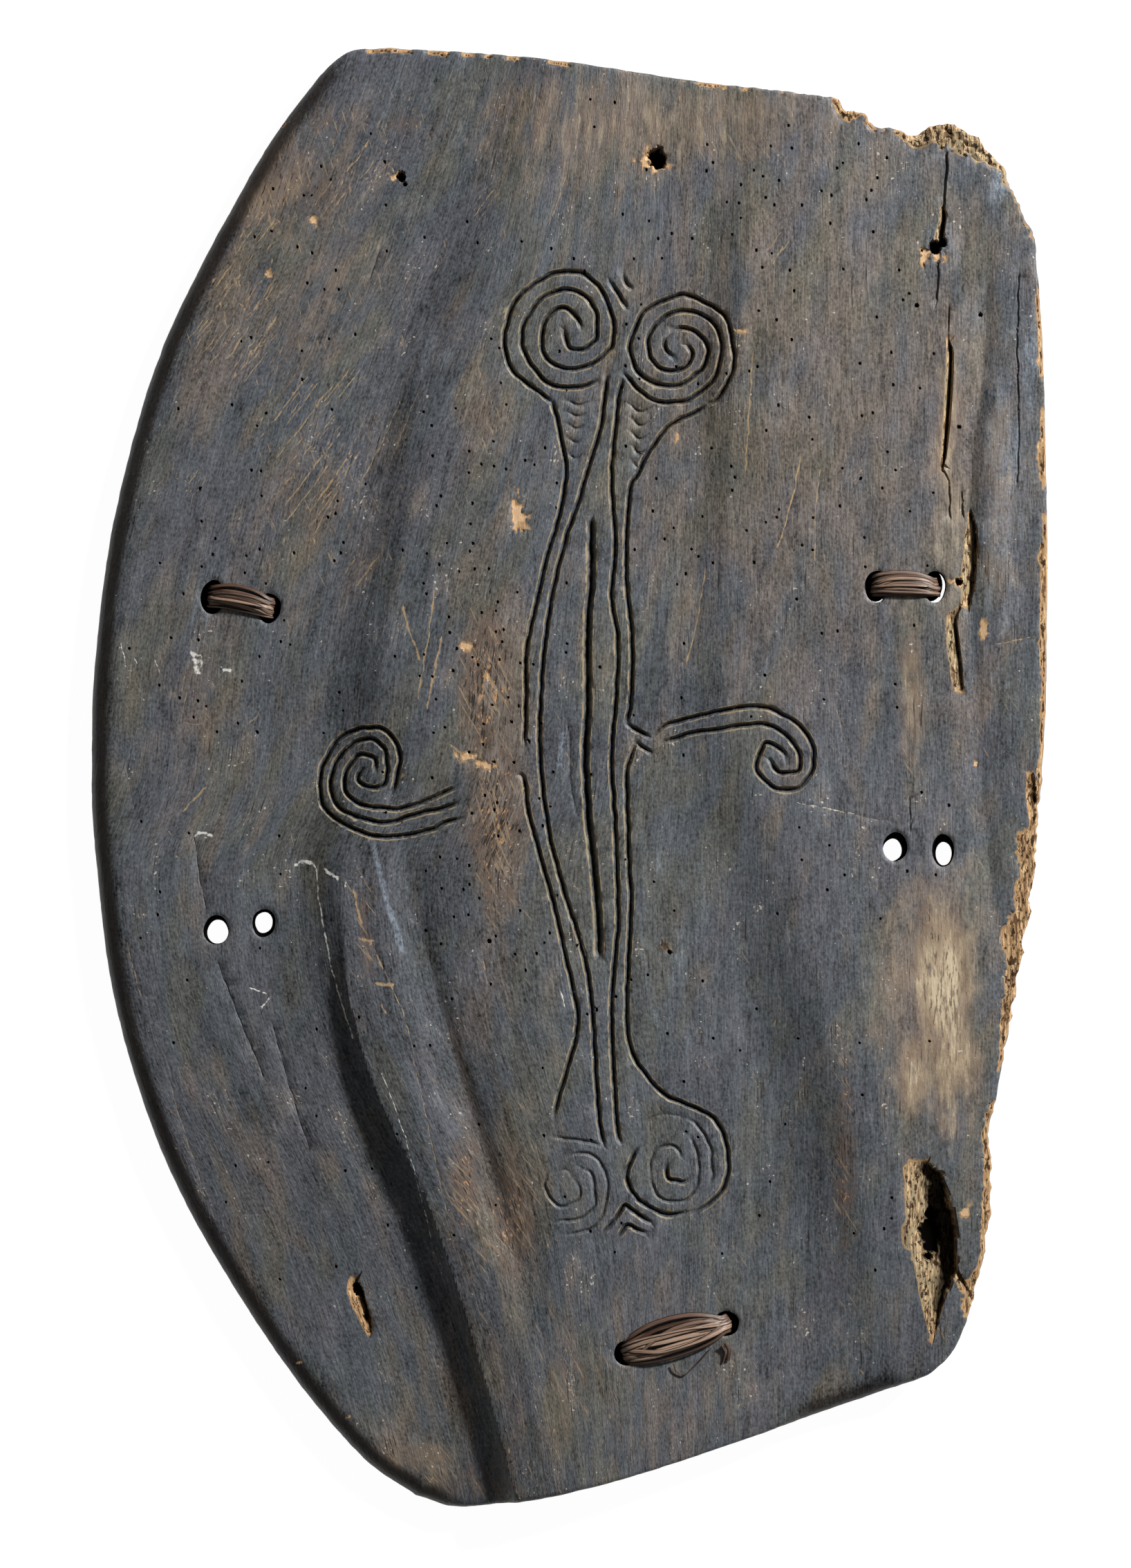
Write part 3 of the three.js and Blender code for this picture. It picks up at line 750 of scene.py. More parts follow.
# %% Lay points round the holes, folds and chips
# Sizes of the rings round a pit and round the mouth of a hole, and size and points of those of a worm hole
PIT_RINGS = (1.25, 1.05, 0.95, 0.8, 0.45, 0.05)
MOUTH_RINGS = (1.12, 1.3)
WORM_RINGS = ((1.5, 7), (1.05, 8), (0.75, 6), (0.01, 1))
# Rails along a fold, in half widths of its step, and along a crease, in millimetres
FOLD_RAILS = (-1, -0.6, -0.2, 0.15, 0.4, 0.6, 0.8, 0.93, 1, 1.12, 1.3)
CREASE_RAILS = (-16, -8, -4, -1.5, 0, 1.5, 4, 8, 16)
FOLD_STEP = 7.0
CREASE_STEP = 6.0
# The grid of points on a chip: its steps, and how far it reaches in half sizes of the chip
CHIP_STEP_X = 1.6
CHIP_STEP_Y = 2.2
CHIP_REACH = 1.5
for x, y, rx, ry, depth in PITS:
    for size in PIT_RINGS:
        spots.extend(ring(x, y, rx * size, ry * size, max(5, round(2.6 * (rx + ry) * size / 2))))
for x, y, rx, ry, depth in worm_holes:
    for size, count in WORM_RINGS:
        spots.extend(ring(x, y, rx * size, ry * size, count))
for mouth, hole in zip(front_rings, through_holes):
    for size in MOUTH_RINGS:
        spots.extend((mouth - hole[:2]) * size + hole[:2])
for fold in FOLDS:
    y = np.arange(fold[0][0], fold[-1][0], FOLD_STEP)
    middle, half = rows_at(fold, y)[[0, 2]]
    for rail in FOLD_RAILS:
        spots.extend(np.column_stack([middle + rail * half, y]))
for crease in CREASES:
    y = np.arange(crease[-1][0], crease[0][0], CREASE_STEP)
    bottom = rows_at(crease, y)[0]
    for rail in CREASE_RAILS:
        spots.extend(np.column_stack([bottom + rail, y]))
for x, y, rx, ry, depth in CHIPS:
    for a in np.arange(x - CHIP_REACH * rx, x + CHIP_REACH * rx, CHIP_STEP_X):
        for b in np.arange(y - CHIP_REACH * ry, y + CHIP_REACH * ry, CHIP_STEP_Y):
            if ((a - x) / rx) ** 2 + ((b - y) / ry) ** 2 < 2.2:
                spots.append((a + random.uniform(-0.4, 0.4), b + random.uniform(-0.6, 0.6)))
print(f"points on features: {len(spots)}")

# %% [markdown]
# Points that lie too close together make needle-thin triangles, and points in a hole or past the rim have no
# wood under them. Sorting the points into square cells finds the close ones, and counting the edges that a
# ray from a point crosses tells whether it is inside.

# %% Helpers that sort points
def inside(points, loop):
    """Which points lie inside a closed loop, by counting the edges that a ray to the right crosses."""
    x, y = points[:, 0], points[:, 1]
    odd = np.zeros(len(points), bool)
    for (ax, ay), (bx, by) in zip(loop, np.roll(loop, -1, axis=0)):
        if ay == by:
            continue
        spans = (ay > y) != (by > y)
        odd ^= spans & (x < (bx - ax) * (y - ay) / (by - ay) + ax)
    return odd


def thin_out(points, gap, keep_from=()):
    """Drops points nearer than the gap to one that is already kept."""
    cells = {}
    kept = []

    def near(px, py):
        i, j = int(px // gap), int(py // gap)
        for a in (i - 1, i, i + 1):
            for b in (j - 1, j, j + 1):
                for qx, qy in cells.get((a, b), ()):
                    if (px - qx) ** 2 + (py - qy) ** 2 < gap * gap:
                        return True
        return False

    for px, py in keep_from:
        cells.setdefault((int(px // gap), int(py // gap)), []).append((px, py))
    for px, py in points:
        if not near(px, py):
            cells.setdefault((int(px // gap), int(py // gap)), []).append((px, py))
            kept.append((px, py))
    return kept


def on_wood(points, loop, rings, margin):
    """Keeps the points that are inside the loop and clear of every ring."""
    points = np.array(points)
    good = inside(points, loop)
    for oval in rings:
        middle = oval.mean(axis=0)
        good &= ~inside(points, (oval - middle) * margin + middle)
    return [tuple(p) for p in points[good]]


print(f"spots to sort: {len(spots)}")

# %% Sort the points and fill the plain wood
HALF_WIDE = 380
HALF_TALL = 580
ROW_PITCH = 0.87
FEATURE_GAP = 0.62
FIELD_STEP = 9.0
FIELD_SHIFT = 1.5
FIELD_GAP = 4.0


def loose_spread(half_tall, step, shift):
    """Points in staggered rows over the whole shield, each shifted a little at random."""
    points = []
    for row, y in enumerate(np.arange(-half_tall, half_tall, step * ROW_PITCH)):
        for x in np.arange(-HALF_WIDE + (row % 2) * step / 2, HALF_WIDE, step):
            points.append((x + random.uniform(-shift, shift), y + random.uniform(-shift, shift)))
    return points


loops = [rim_inner] + front_rings
fixed = [tuple(p) for loop in loops for p in loop]
features = thin_out(on_wood(spots, rim_inner, front_rings, 1.06), FEATURE_GAP, fixed)
field = on_wood(loose_spread(HALF_TALL, FIELD_STEP, FIELD_SHIFT), rim_inner, front_rings, 1.3)
field = thin_out(field, FIELD_GAP, fixed + features)
print(f"fixed {len(fixed)}, features {len(features)}, field {len(field)}")

# %% Join the points into a sheet
def loop_edges(loops):
    """The edges round each loop, as pairs of point numbers."""
    edges = []
    start = 0
    for loop in loops:
        count = len(loop)
        edges += [(start + i, start + (i + 1) % count) for i in range(count)]
        start += count
    return edges


def weave(loops, free_points):
    """Triangles between the outer loop and the rings, as points, faces and the loops' point numbers."""
    flat = [tuple(p) for loop in loops for p in loop] + list(free_points)
    result = geometry.delaunay_2d_cdt([Vector(p) for p in flat], loop_edges(loops), [], 0, 1e-5)
    points = np.array([tuple(p) for p in result[0]])
    faces = np.array([face for face in result[2]])
    new_number = {}
    for number, sources in enumerate(result[3]):
        for source in sources:
            new_number[source] = number
    middles = points[faces].mean(axis=1)
    good = inside(middles, loops[0])
    for oval in loops[1:]:
        good &= ~inside(middles, oval)
    numbers = []
    start = 0
    for loop in loops:
        numbers.append([new_number[start + i] for i in range(len(loop))])
        start += len(loop)
    return points, faces[good], numbers


front_points, front_faces, front_loops = weave(loops, features + field)
print(f"front sheet: {len(front_points)} points, {len(front_faces)} triangles")

# %% [markdown]
# ## Pressing the damage into the sheet
# Every point now sinks by the deepest thing that reaches it. The same sum leaves masks on the points: where
# the knife has cut, where raw wood shows, and where shade is painted black inside. The material reads these
# masks later.

# %% Sink the lines
# How far from a line its cut can reach
LINE_REACH = 5.2
tree = kdtree.KDTree(len(bottoms))
for number, bottom in enumerate(bottoms):
    tree.insert((bottom[0], bottom[1], 0), number)
tree.balance()
count = len(front_points)
sink = np.zeros(count)
masks = {name: np.zeros(count) for name in ("carved", "raw", "scratch", "painted_shade", "chalk", "bloom")}
cut_share = np.full(count, -1.0)
cut_depth = np.zeros(count)


def mark(name, strength, at=slice(None)):
    """Raises a mask to at least this strength, at some points or at all of them."""
    masks[name][at] = np.maximum(masks[name][at], strength)


for number, (x, y) in enumerate(front_points):
    for place, source, distance in tree.find_range((x, y, 0), LINE_REACH):
        half, depth, kind = bottoms[source][2:]
        share = 1.0 - distance / half
        if kind == "carved" and share > cut_share[number]:
            cut_share[number] = share
            cut_depth[number] = depth
        if share <= 0:
            continue
        sink[number] = max(sink[number], depth * share)
        # Cracks get painted shade, black inside
        if kind == "crack":
            mark("painted_shade", share * min(1.0, depth / 3.6), number)
        elif kind == "scratch":
            mark("scratch", 3.3 * depth * share**0.5, number)
        elif kind != "carved":
            mark(kind, share**0.5, number)
print(f"deepest line: {sink.max():.1f} mm")

# %% Pale lips and painted shade in the bottoms of the carving
x, y = front_points.T
ragged = rough_noise_at(front_points, 5, 26, 1.5, 1.0, 2.0, 4)
crumbs = rough_noise_at(front_points, 4, 4, 6.5, 1.0, 2.0, 3)
lip = smoothstep(-0.25, 0.0, cut_share) * smoothstep(0.45, 0.15, cut_share)
masks["carved"] = lip * np.minimum(1.0, cut_depth / 4) * (1 + 0.7 * crumbs)
# Painted shade: the groove bottoms darken towards their middle
groove_shade = 0.36 * smoothstep(0.25, 0.5, cut_share) + 0.5 * smoothstep(0.55, 0.9, cut_share)
groove_shade *= np.minimum(1.0, cut_depth / 3.5) * (1 + 0.5 * crumbs)
mark("painted_shade", groove_shade)
masks["painted_shade"] = np.clip(masks["painted_shade"], 0, 1)
print(f"points on a lip: {np.count_nonzero(lip > 0.5)}")

# %% Hollow out the slots
# How far round a slot's spine its points are looked for
SLOT_ROOM = np.array([30, 6])
for slot in SLOTS:
    line, half, depth = slot_spine(slot, FINE_STEP)
    in_room = (front_points > line.min(axis=0) - SLOT_ROOM) & (front_points < line.max(axis=0) + SLOT_ROOM)
    near = np.where(in_room.all(axis=1))[0]
    row = np.abs(line[None, :, 1] - y[near, None]).argmin(axis=1)
    ends = smoothstep(5.0, 0.0, np.abs(line[row, 1] - y[near]))
    side = (x[near] - line[row, 0]) / half[row] + 0.22 * ragged[near] * (half[row] > 3)
    floor = np.clip((side + 1) / 1.75, 0, 1) ** 1.2 * smoothstep(1.04, 0.84, side) * ends
    fibres = 1 + 0.25 * ragged[near]
    sink[near] = np.maximum(sink[near], floor * depth[row] * fibres)
    bare = smoothstep(-1.08, -0.95, side) * smoothstep(1.06, 0.98, side) * ends
    mark("raw", 0.9 * bare, near)
    # Painted shade: a slot is darker the deeper its floor
    slot_shade = 0.12 * smoothstep(0.05, 0.4, floor) + 0.7 * smoothstep(0.42, 0.75, floor)
    mark("painted_shade", slot_shade * np.minimum(1.0, depth[row] / 5), near)
print(f"deepest so far: {sink.max():.1f} mm")

# %% Chips, pits and worm holes
for px, py, rx, ry, depth in CHIPS:
    away = np.hypot((x - px) / rx, (y - py) / ry) + 0.8 * ragged + 0.6 * crumbs
    sink = np.maximum(sink, smoothstep(1.05, 0.8, away) * depth)
    mark("raw", 0.84 * smoothstep(1.15, 0.8, away))
    mark("chalk", 0.72 * smoothstep(1.0, 0.6, away))
for px, py, rx, ry, depth in PITS + worm_holes:
    away = np.hypot((x - px) / rx, (y - py) / ry) + 0.3 * crumbs * min(1.0, rx / 4)
    sink = np.maximum(sink, smoothstep(1.02, 0.8, away) * depth)
    # Pits and worm holes are painted black inside as shade
    mark("painted_shade", smoothstep(1.0, 0.8, away))
print(f"points that are quite black: {np.count_nonzero(masks['painted_shade'] > 0.99)}")

# %% Torn wood along the edge and round the holes
# The least wood that is left under a cut, and how far a hole's mouth is worn down
THIN_WOOD = 1.2
MOUTH_WEAR = 1.2
for number in range(count):
    place, source, distance = edge_tree.find((x[number], y[number], 0))
    reach = edge_reach[source]
    if reach > 1 and distance < reach + 6:
        bare = smoothstep(1.05, 0.85, distance / reach + 0.45 * ragged[number])
        corner = smoothstep(420, 460, y[number])
        torn = bare * (1.6 + 1.2 * ragged[number] + corner * (0.6 + 2.2 * crumbs[number]))
        sink[number] = max(sink[number], torn)
        mark("raw", bare, number)
        # Painted shade in the sunk, crumbly pockets of the broken corner
        mark("painted_shade", 0.8 * corner * bare * smoothstep(0.0, 0.5, crumbs[number]), number)
for hole in through_holes:
    away = np.hypot((x - hole[0]) / hole[2], (y - hole[1]) / hole[3])
    sink = np.maximum(sink, MOUTH_WEAR * smoothstep(1.22, 0.95, away))
masks["raw"] = np.minimum(masks["raw"], 0.9)
sink = np.minimum(sink, front_height(x, y) - back_height(x, y) - THIN_WOOD)
print(f"deepest cut: {sink.max():.1f} mm")

# %% [markdown]
# ## Rim, back and hole walls
# The front sheet alone is a skin. Rings of points carry it round the edge and down the holes to a second,
# plainer sheet behind, so that the plank is one closed solid with its true thickness.

# %% Lay the back
BACK_INSET = 3.0
BACK_HALF_TALL = 575
BACK_STEP = 15.0
BACK_SHIFT = 3
BACK_GAP = 8.0
ADZE_DEPTH = 0.28
back_edge = edge_line - outward * BACK_INSET
back_fixed = [tuple(p) for loop in back_rings + [back_edge] for p in loop]
back_free = on_wood(loose_spread(BACK_HALF_TALL, BACK_STEP, BACK_SHIFT), back_edge, back_rings, 1.35)
back_free = thin_out(back_free, BACK_GAP, back_fixed)
back_points, back_faces, back_loops = weave([back_edge] + back_rings, back_free)
adze = np.array([noise.cell(Vector((a / 26, b / 44, 0.2))) for a, b in back_points])
adze += noise_at(*back_points.T, 22, 60, 5.0)
back_z = back_height(*back_points.T) + ADZE_DEPTH * adze * seat_share(*back_points.T)
print(f"back sheet: {len(back_points)} points, {len(back_faces)} triangles")

# %% Close the rim
RIM_TURNS = (22, 45, 67, 90)
# How much of a small chip shows on each ring of the rim
RIM_FADES = (1.0, 0.8, 0.5, 0.25)
# Rings below the rim: how far in from the edge, how far above the back, and how much raw wood shows
WALL_RINGS = ((0.3, 3.5, 1.0), (1.2, 1.0, 0.6))
first_back = len(front_points)
vertices = [np.column_stack([front_points, front_height(x, y) - sink])]
vertices.append(np.column_stack([back_points, back_z]))
faces = [tuple(face) for face in front_faces]
faces += [tuple(face[::-1] + first_back) for face in back_faces]
raw_parts = [np.zeros(first_back + len(back_points))]
painted_shade_parts = [np.zeros(first_back + len(back_points))]


def add_ring(points, heights, raw=0.0, painted_shade=0.0):
    """Adds a ring of points with its masks and returns their numbers."""
    start = sum(len(part) for part in vertices)
    vertices.append(np.column_stack([points, heights]))
    raw_parts.append(np.zeros(len(points)) + raw)
    painted_shade_parts.append(np.zeros(len(points)) + painted_shade)
    return list(range(start, start + len(points)))


def bridge(one, other):
    """Quads between two rings with the same number of points."""
    count = len(one)
    for i in range(count):
        j = (i + 1) % count
        faces.append((one[i], one[j], other[j], other[i]))


chipped_rim = 0.9 * smoothstep(1.5, 4.0, edge_reach)
raw_rim = 0.9 * smoothstep(5.5, 8.0, edge_reach)
rim_top = vertices[0][front_loops[0], 2]
rings = [front_loops[0]]
for turn, fade in zip(np.radians(RIM_TURNS), RIM_FADES):
    place = edge_line - outward * (rim_width * (1 - math.sin(turn)))[:, None]
    bare = np.maximum(raw_rim, fade * chipped_rim)
    rings.append(add_ring(place, rim_top - rim_drop * (1 - math.cos(turn)), bare))
wall_low = back_height(*edge_line.T)
for inset, lift, share in WALL_RINGS:
    rings.append(add_ring(edge_line - outward * inset, wall_low + lift, share * raw_rim))
rings.append([number + first_back for number in back_loops[0]])
for one, other in zip(rings, rings[1:]):
    bridge(one, other)
print(f"rings round the rim: {len(rings)}")

# %% Line the holes
HOLE_LEVELS = (0.08, 0.25, 0.5, 0.75, 0.93)
for mouth, back_mouth, top, low in zip(front_rings, back_rings, front_loops[1:], back_loops[1:]):
    z_top = vertices[0][top, 2]
    z_low = back_z[low]
    wall = [top]
    for part in HOLE_LEVELS:
        place = mouth + (back_mouth - mouth) * part
        # The walls of each hole are painted black as shade
        wall.append(add_ring(place, z_top + (z_low - z_top) * part, 0.0, 1.0))
    wall.append([number + first_back for number in low])
    for one, other in zip(wall, wall[1:]):
        bridge(one, other)
board_points = np.vstack(vertices)
wall_raw = np.concatenate(raw_parts)
wall_painted_shade = np.concatenate(painted_shade_parts)
print(f"plank: {len(board_points)} points, {len(faces)} faces")

# %% [markdown]
# ## Broad patches of colour
# Smoke, hands and weather have coloured the wood unevenly: warm brown at the upper right, a rubbed strip by
# the stem, a pale patch low on the right. Each patch is a soft oval in a mask on the points. An image would
# follow the real stains more closely, but masks stay sharp at any distance and need no file.

# %% List the patches
# Middle, half sizes and strength of each soft oval
WARM_PATCHES = [
    (200, 300, 160, 230, 0.6), (-215, 430, 120, 120, 0.3), (-58, 35, 26, 130, 1.0),
    (-50, -335, 34, 70, 0.7), (-200, 215, 80, 80, 0.35), (60, 510, 130, 45, 0.6),
    (285, -175, 40, 95, 0.7), (-255, -330, 60, 130, 0.3), (-110, -520, 60, 50, 0.4),
    (300, 90, 40, 160, 0.4), (-60, -160, 22, 80, 0.5), (-70, 290, 24, 50, 0.6), (-275, 390, 40, 140, 0.5),
    (345, 230, 20, 130, 0.5), (100, 520, 160, 30, 0.6), (20, -490, 200, 80, 0.35),
    (-300, 60, 50, 120, 0.4),
]
PALE_PATCHES = [
    (297, -165, 22, 58, 1.35), (303, -224, 20, 44, 0.95), (284, -118, 28, 42, 0.6),
    (290, -170, 46, 95, 0.5), (272, -236, 12, 32, 0.9), (270, 70, 14, 60, 0.6), (300, -260, 16, 40, 0.5),
    (-190, 400, 60, 60, 0.3), (60, 520, 150, 36, 0.5), (342, 230, 14, 120, 0.45),
    (-118, -540, 34, 14, 0.5), (302, 260, 14, 130, 0.62), (-240, 470, 50, 40, 0.5),
    (-295, 40, 30, 50, 0.3),
]
RUBBED_PATCHES = [
    (-65, 72, 24, 62, 0.95), (-58, -35, 20, 80, 0.95), (-200, 360, 60, 90, 0.45),
    (-225, 470, 70, 60, 0.6), (-46, -345, 22, 56, 0.8), (-205, 215, 50, 60, 0.5), (-65, 285, 14, 36, 0.6),
    (-160, -120, 8, 60, 0.7), (-82, -318, 12, 45, 0.9), (120, 500, 120, 30, 0.4),
    (218, -300, 12, 110, 0.7), (0, -470, 40, 60, 0.5), (77, -134, 7, 5, 1.2), (-80, -560, 60, 20, 0.6),
    (320, 60, 30, 90, 0.4), (285, -120, 22, 32, 0.6), (-132, 520, 30, 24, 0.5), (-40, 533, 34, 18, 0.5),
    (-270, 390, 36, 90, 0.5), (-180, 520, 50, 36, 0.5),
]
# Soft ovals of blue white bloom and painted sheen
SHEEN_AND_BLOOM_PATCHES = [
    (368, 330, 5, 30, 0.8), (345, 470, 9, 14, 0.7), (85, -110, 34, 120, 0.3), (-245, 340, 36, 36, 0.25),
    (-110, 340, 18, 34, 0.3), (70, 0, 30, 60, 0.2), (300, 200, 12, 50, 0.3), (-295, 140, 16, 60, 0.3),
    (300, 425, 14, 30, 0.5), (345, 230, 14, 120, 0.8), (-334, 308, 5, 18, 1.1),
]
SOOT_PATCHES = [
    (-165, 60, 30, 90, 0.4), (-60, 420, 22, 80, 0.3), (110, 390, 14, 90, 0.45), (-100, -205, 16, 60, 0.35),
    (-215, -315, 50, 70, 0.25), (-105, 180, 40, 60, 0.2),
]
# Where bare wood has gone grey with dust and rot
DUSTY_PATCHES = [
    (300, 300, 12, 70, 1.0), (318, 170, 12, 50, 1.0), (306, 100, 12, 40, 1.0), (295, 435, 10, 25, 1.0),
    (284, -365, 34, 80, 1.0), (305, 480, 80, 40, 1.0),
]
print(f"rubbed patches: {len(RUBBED_PATCHES)}, warm: {len(WARM_PATCHES)}, pale: {len(PALE_PATCHES)}")

# %% Paint shade into the folds and onto the rim
def soft_patches(patches, x, y):
    """How strongly the soft ovals cover each point."""
    total = np.zeros(len(x))
    for px, py, rx, ry, strength in patches:
        away = ((x - px) / rx) ** 2 + ((y - py) / ry) ** 2
        total = np.maximum(total, strength * np.exp(-0.7 * away))
    return total


bx, by, bz = board_points.T
# Painted shade on the rim that faces away from the lamp, strongest near the edge
rim_shade = np.zeros(len(board_points))
for number, (px, py) in enumerate(board_points[:, :2]):
    place, source, distance = edge_tree.find((px, py, 0))
    rim_shade[number] = wide_share[source] * smoothstep(24.0, 8.0, distance)
fold_middle, fold_half, fold_crest = rows_at(MAIN_FOLD, by)[[0, 2, 3]]
crest = np.clip(fold_crest, 0, 1)
behind_crest = bx - fold_middle - fold_half - 14
crease_bottom, crease_depth = rows_at(BRANCH_CREASE, by)[:2]
crease_shade = 0.11 * crease_depth * smoothstep(-14, 4, bx - crease_bottom)
# Soot patches, with painted shade along the main fold's step and past its crest, in the branch crease and on
# the rim
soot_and_shade = np.maximum.reduce([
    soft_patches(SOOT_PATCHES, bx, by),
    (0.28 + 0.2 * crest) * np.exp(-((bx - fold_middle) / 30) ** 2),
    0.32 * crest * np.exp(-(behind_crest / 24) ** 2),
    crease_shade * np.exp(-np.maximum(0, bx - crease_bottom) / 20),
    1.15 * rim_shade,
])
print(f"blackest soot: {soot_and_shade.max():.2f}")

# %% Gather the masks and make the plank's mesh
# Where the main fold stands at mid height: the grain runs along the fold, and straight on the right side
FLOW_LINE = -180.0


def front_only(values):
    """Spreads a mask of the front sheet over the whole plank, with none elsewhere."""
    return np.concatenate([values, np.zeros(len(board_points) - len(values))])


off_front = np.arange(len(board_points)) >= len(front_points)
front_side = smoothstep(2.0, 6.0, bz - back_height(bx, by))
for px, py, rx, ry, depth in CHIPS:
    away = np.hypot((bx - px) / rx, (by - py) / ry)
    wall_raw = np.maximum(wall_raw, smoothstep(1.15, 0.8, away) * front_side)
board_masks = {
    "carved": front_only(masks["carved"]),
    "raw": np.where(off_front, wall_raw, front_only(masks["raw"])),
    "painted_shade": np.where(off_front, wall_painted_shade, front_only(masks["painted_shade"])),
    "chalk": front_only(masks["chalk"]),
    "scratch": front_only(masks["scratch"]),
    "warm": soft_patches(WARM_PATCHES, bx, by),
    "pale": soft_patches(PALE_PATCHES, bx, by) * front_side,
    "rubbed": soft_patches(RUBBED_PATCHES, bx, by) * front_side,
    "dusty": soft_patches(DUSTY_PATCHES, bx, by),
    "bloom": np.maximum(soft_patches(SHEEN_AND_BLOOM_PATCHES, bx, by) * front_side, front_only(masks["bloom"])),
    "soot_and_shade": soot_and_shade,
    "flow": (bx - (fold_middle - FLOW_LINE) * smoothstep(150, -100, bx)) * MM,
}


def mesh_object(name, points, faces, attributes):
    """A mesh object at the origin, from points in millimetres, with its masks."""
    mesh = bpy.data.meshes.new(name)
    mesh.from_pydata([tuple(p) for p in np.array(points) * MM], [], faces)
    for label, values in attributes.items():
        layer = mesh.attributes.new(label, "FLOAT", "POINT")
        layer.data.foreach_set("value", np.array(values, np.float32))
    made_object = bpy.data.objects.new(name, mesh)
    bpy.context.collection.objects.link(made_object)
    return made_object


def finish_mesh(piece, angle_deg):
    """Turns all faces outwards and smooths all but the sharp edges, as by hand."""
    bpy.ops.object.select_all(action="DESELECT")
    bpy.context.view_layer.objects.active = piece
    piece.select_set(True)
    bpy.ops.object.mode_set(mode="EDIT")
    bpy.ops.mesh.select_all(action="SELECT")
    bpy.ops.mesh.normals_make_consistent(inside=False)
    bpy.ops.object.mode_set(mode="OBJECT")
    bpy.ops.object.shade_smooth_by_angle(angle=math.radians(angle_deg))
    piece.select_set(False)
    triangles = sum(len(face.vertices) - 2 for face in piece.data.polygons)
    print(f"{piece.name}: {triangles} triangles")


BOARD_SHARP = 42
board = mesh_object("carved_board", board_points, faces, board_masks)
finish_mesh(board, BOARD_SHARP)

# %% [markdown]
# ## The cane lashings
# Each lashing is one long strip of split cane, wound round and round through a pair of holes, so its turns
# lie side by side in front, cross here and there, and crowd together in the holes. A curve with a bevel would
# twist where it dives into a hole, so the strip's flat section is swept by hand: its width lies across the
# bundle.

# %% Sweep a strip of cane
STRIP_THICK = 1.3
SECTION = [(math.cos(t), math.sin(t)) for t in np.linspace(0, 2 * math.pi, 10, endpoint=False)]


def sweep(rows, first):
    """A flat strip along a path: its points, its faces counted from a first number, and its masks."""
    points = []
    for centre, side, out, width in zip(rows["centre"], rows["side"], rows["out"], rows["width"]):
        for p, q in SECTION:
            points.append(centre + side * (0.5 * width * p) + out * (0.5 * STRIP_THICK * q))
    count, last = len(SECTION), len(rows["centre"]) - 1
    start_cap = tuple(first + i for i in range(count))
    end_cap = tuple(first + last * count + i for i in reversed(range(count)))
    strip_faces = [start_cap, end_cap]
    for step in range(last):
        a, b = first + step * count, first + (step + 1) * count
        for i in range(count):
            j = (i + 1) % count
            strip_faces.append((a + i, a + j, b + j, b + i))
    strip_masks = {name: np.repeat(rows[name], count) for name in ("tone_and_shade", "shade", "along")}
    strip_masks["across"] = np.array([0.5 * width * p for width in rows["width"] for p, q in SECTION])
    strip_masks["edge"] = np.tile([abs(p) for p, q in SECTION], last + 1)
    return points, strip_faces, strip_masks


def ease(one, other, part):
    """A smooth change from one value to the other."""
    return one + (other - one) * float(smoothstep(0, 1, part))


print(f"section of the strip: {len(SECTION)} points")

# %% Plan the turns
# Half width in front and in the holes, clear height, turns beneath and on top, strip width and sideways arch
BUNDLES = {
    "cane_lashing_upper_left": (9.6, 7.0, 1.8, 7, 7, 3.0, 2.8),
    "cane_lashing_upper_right": (9.2, 6.2, 1.6, 7, 7, 2.8, 2.4),
    "cane_lashing_lower": (15.0, 5.4, 4.4, 9, 10, 3.6, 2.2),
}


def order_of_turns(under, over):
    """Where each turn lies in the two holes, from -1 to 1: side by side beneath, crossing on top."""
    even = np.linspace(-1, 1, under)
    loose = np.random.default_rng(under + over)
    first = np.concatenate([even, loose.uniform(-0.95, 0.95, over + 1)])
    second = np.concatenate([even + loose.uniform(-0.12, 0.12, under), loose.uniform(-0.95, 0.95, over + 1)])
    return first, second


def loosen(under, over, strip_width):
    """What chance gives each turn: how far out it lies in the holes, in front and behind, and its look."""
    turns = under + over
    return {
        "in_hole": [[random.uniform(-1.8, 1.8) for k in range(turns + 1)] for hole in range(2)],
        "in_front": [0.0] * under + [random.uniform(0.4, 4.2) for k in range(over)],
        "sway": [random.uniform(-0.55, 0.55) for k in range(turns)],
        "behind": [random.uniform(-1.0, 1.0) for k in range(turns)],
        "width": [strip_width * random.uniform(0.55, 1.5) for k in range(turns)],
        # Random tone, and turns beneath get darker values than those on top as painted shade under the
        # crossing turns
        "tone_and_shade": [random.uniform(0.0, 0.6) for k in range(under)]
                + [random.uniform(0.3, 1.0) for k in range(over)],
        "twist": [random.uniform(-0.7, 0.7) for k in range(turns)],
    }


print(f"lashings to wind: {len(BUNDLES)}")

# %% Wind the cane
# How far the turns reach past the middles of the holes, and how square a turn is: 2 would be an oval
LEG_OUT = 2.6
SQUARENESS = 3.0
STEPS_A_TURN = 56
STEP_LENGTH = 2.6
# How far the cane stands off the back, and how far above the floor it stays at its middle and anywhere
BACK_STAND = 3.2
FLOOR_MIDDLE = 1.4
FLOOR_CLEAR = 0.75


def rounded_power(value, power):
    """A power that keeps the sign, for turns between an oval and a box."""
    return math.copysign(abs(value) ** power, value)


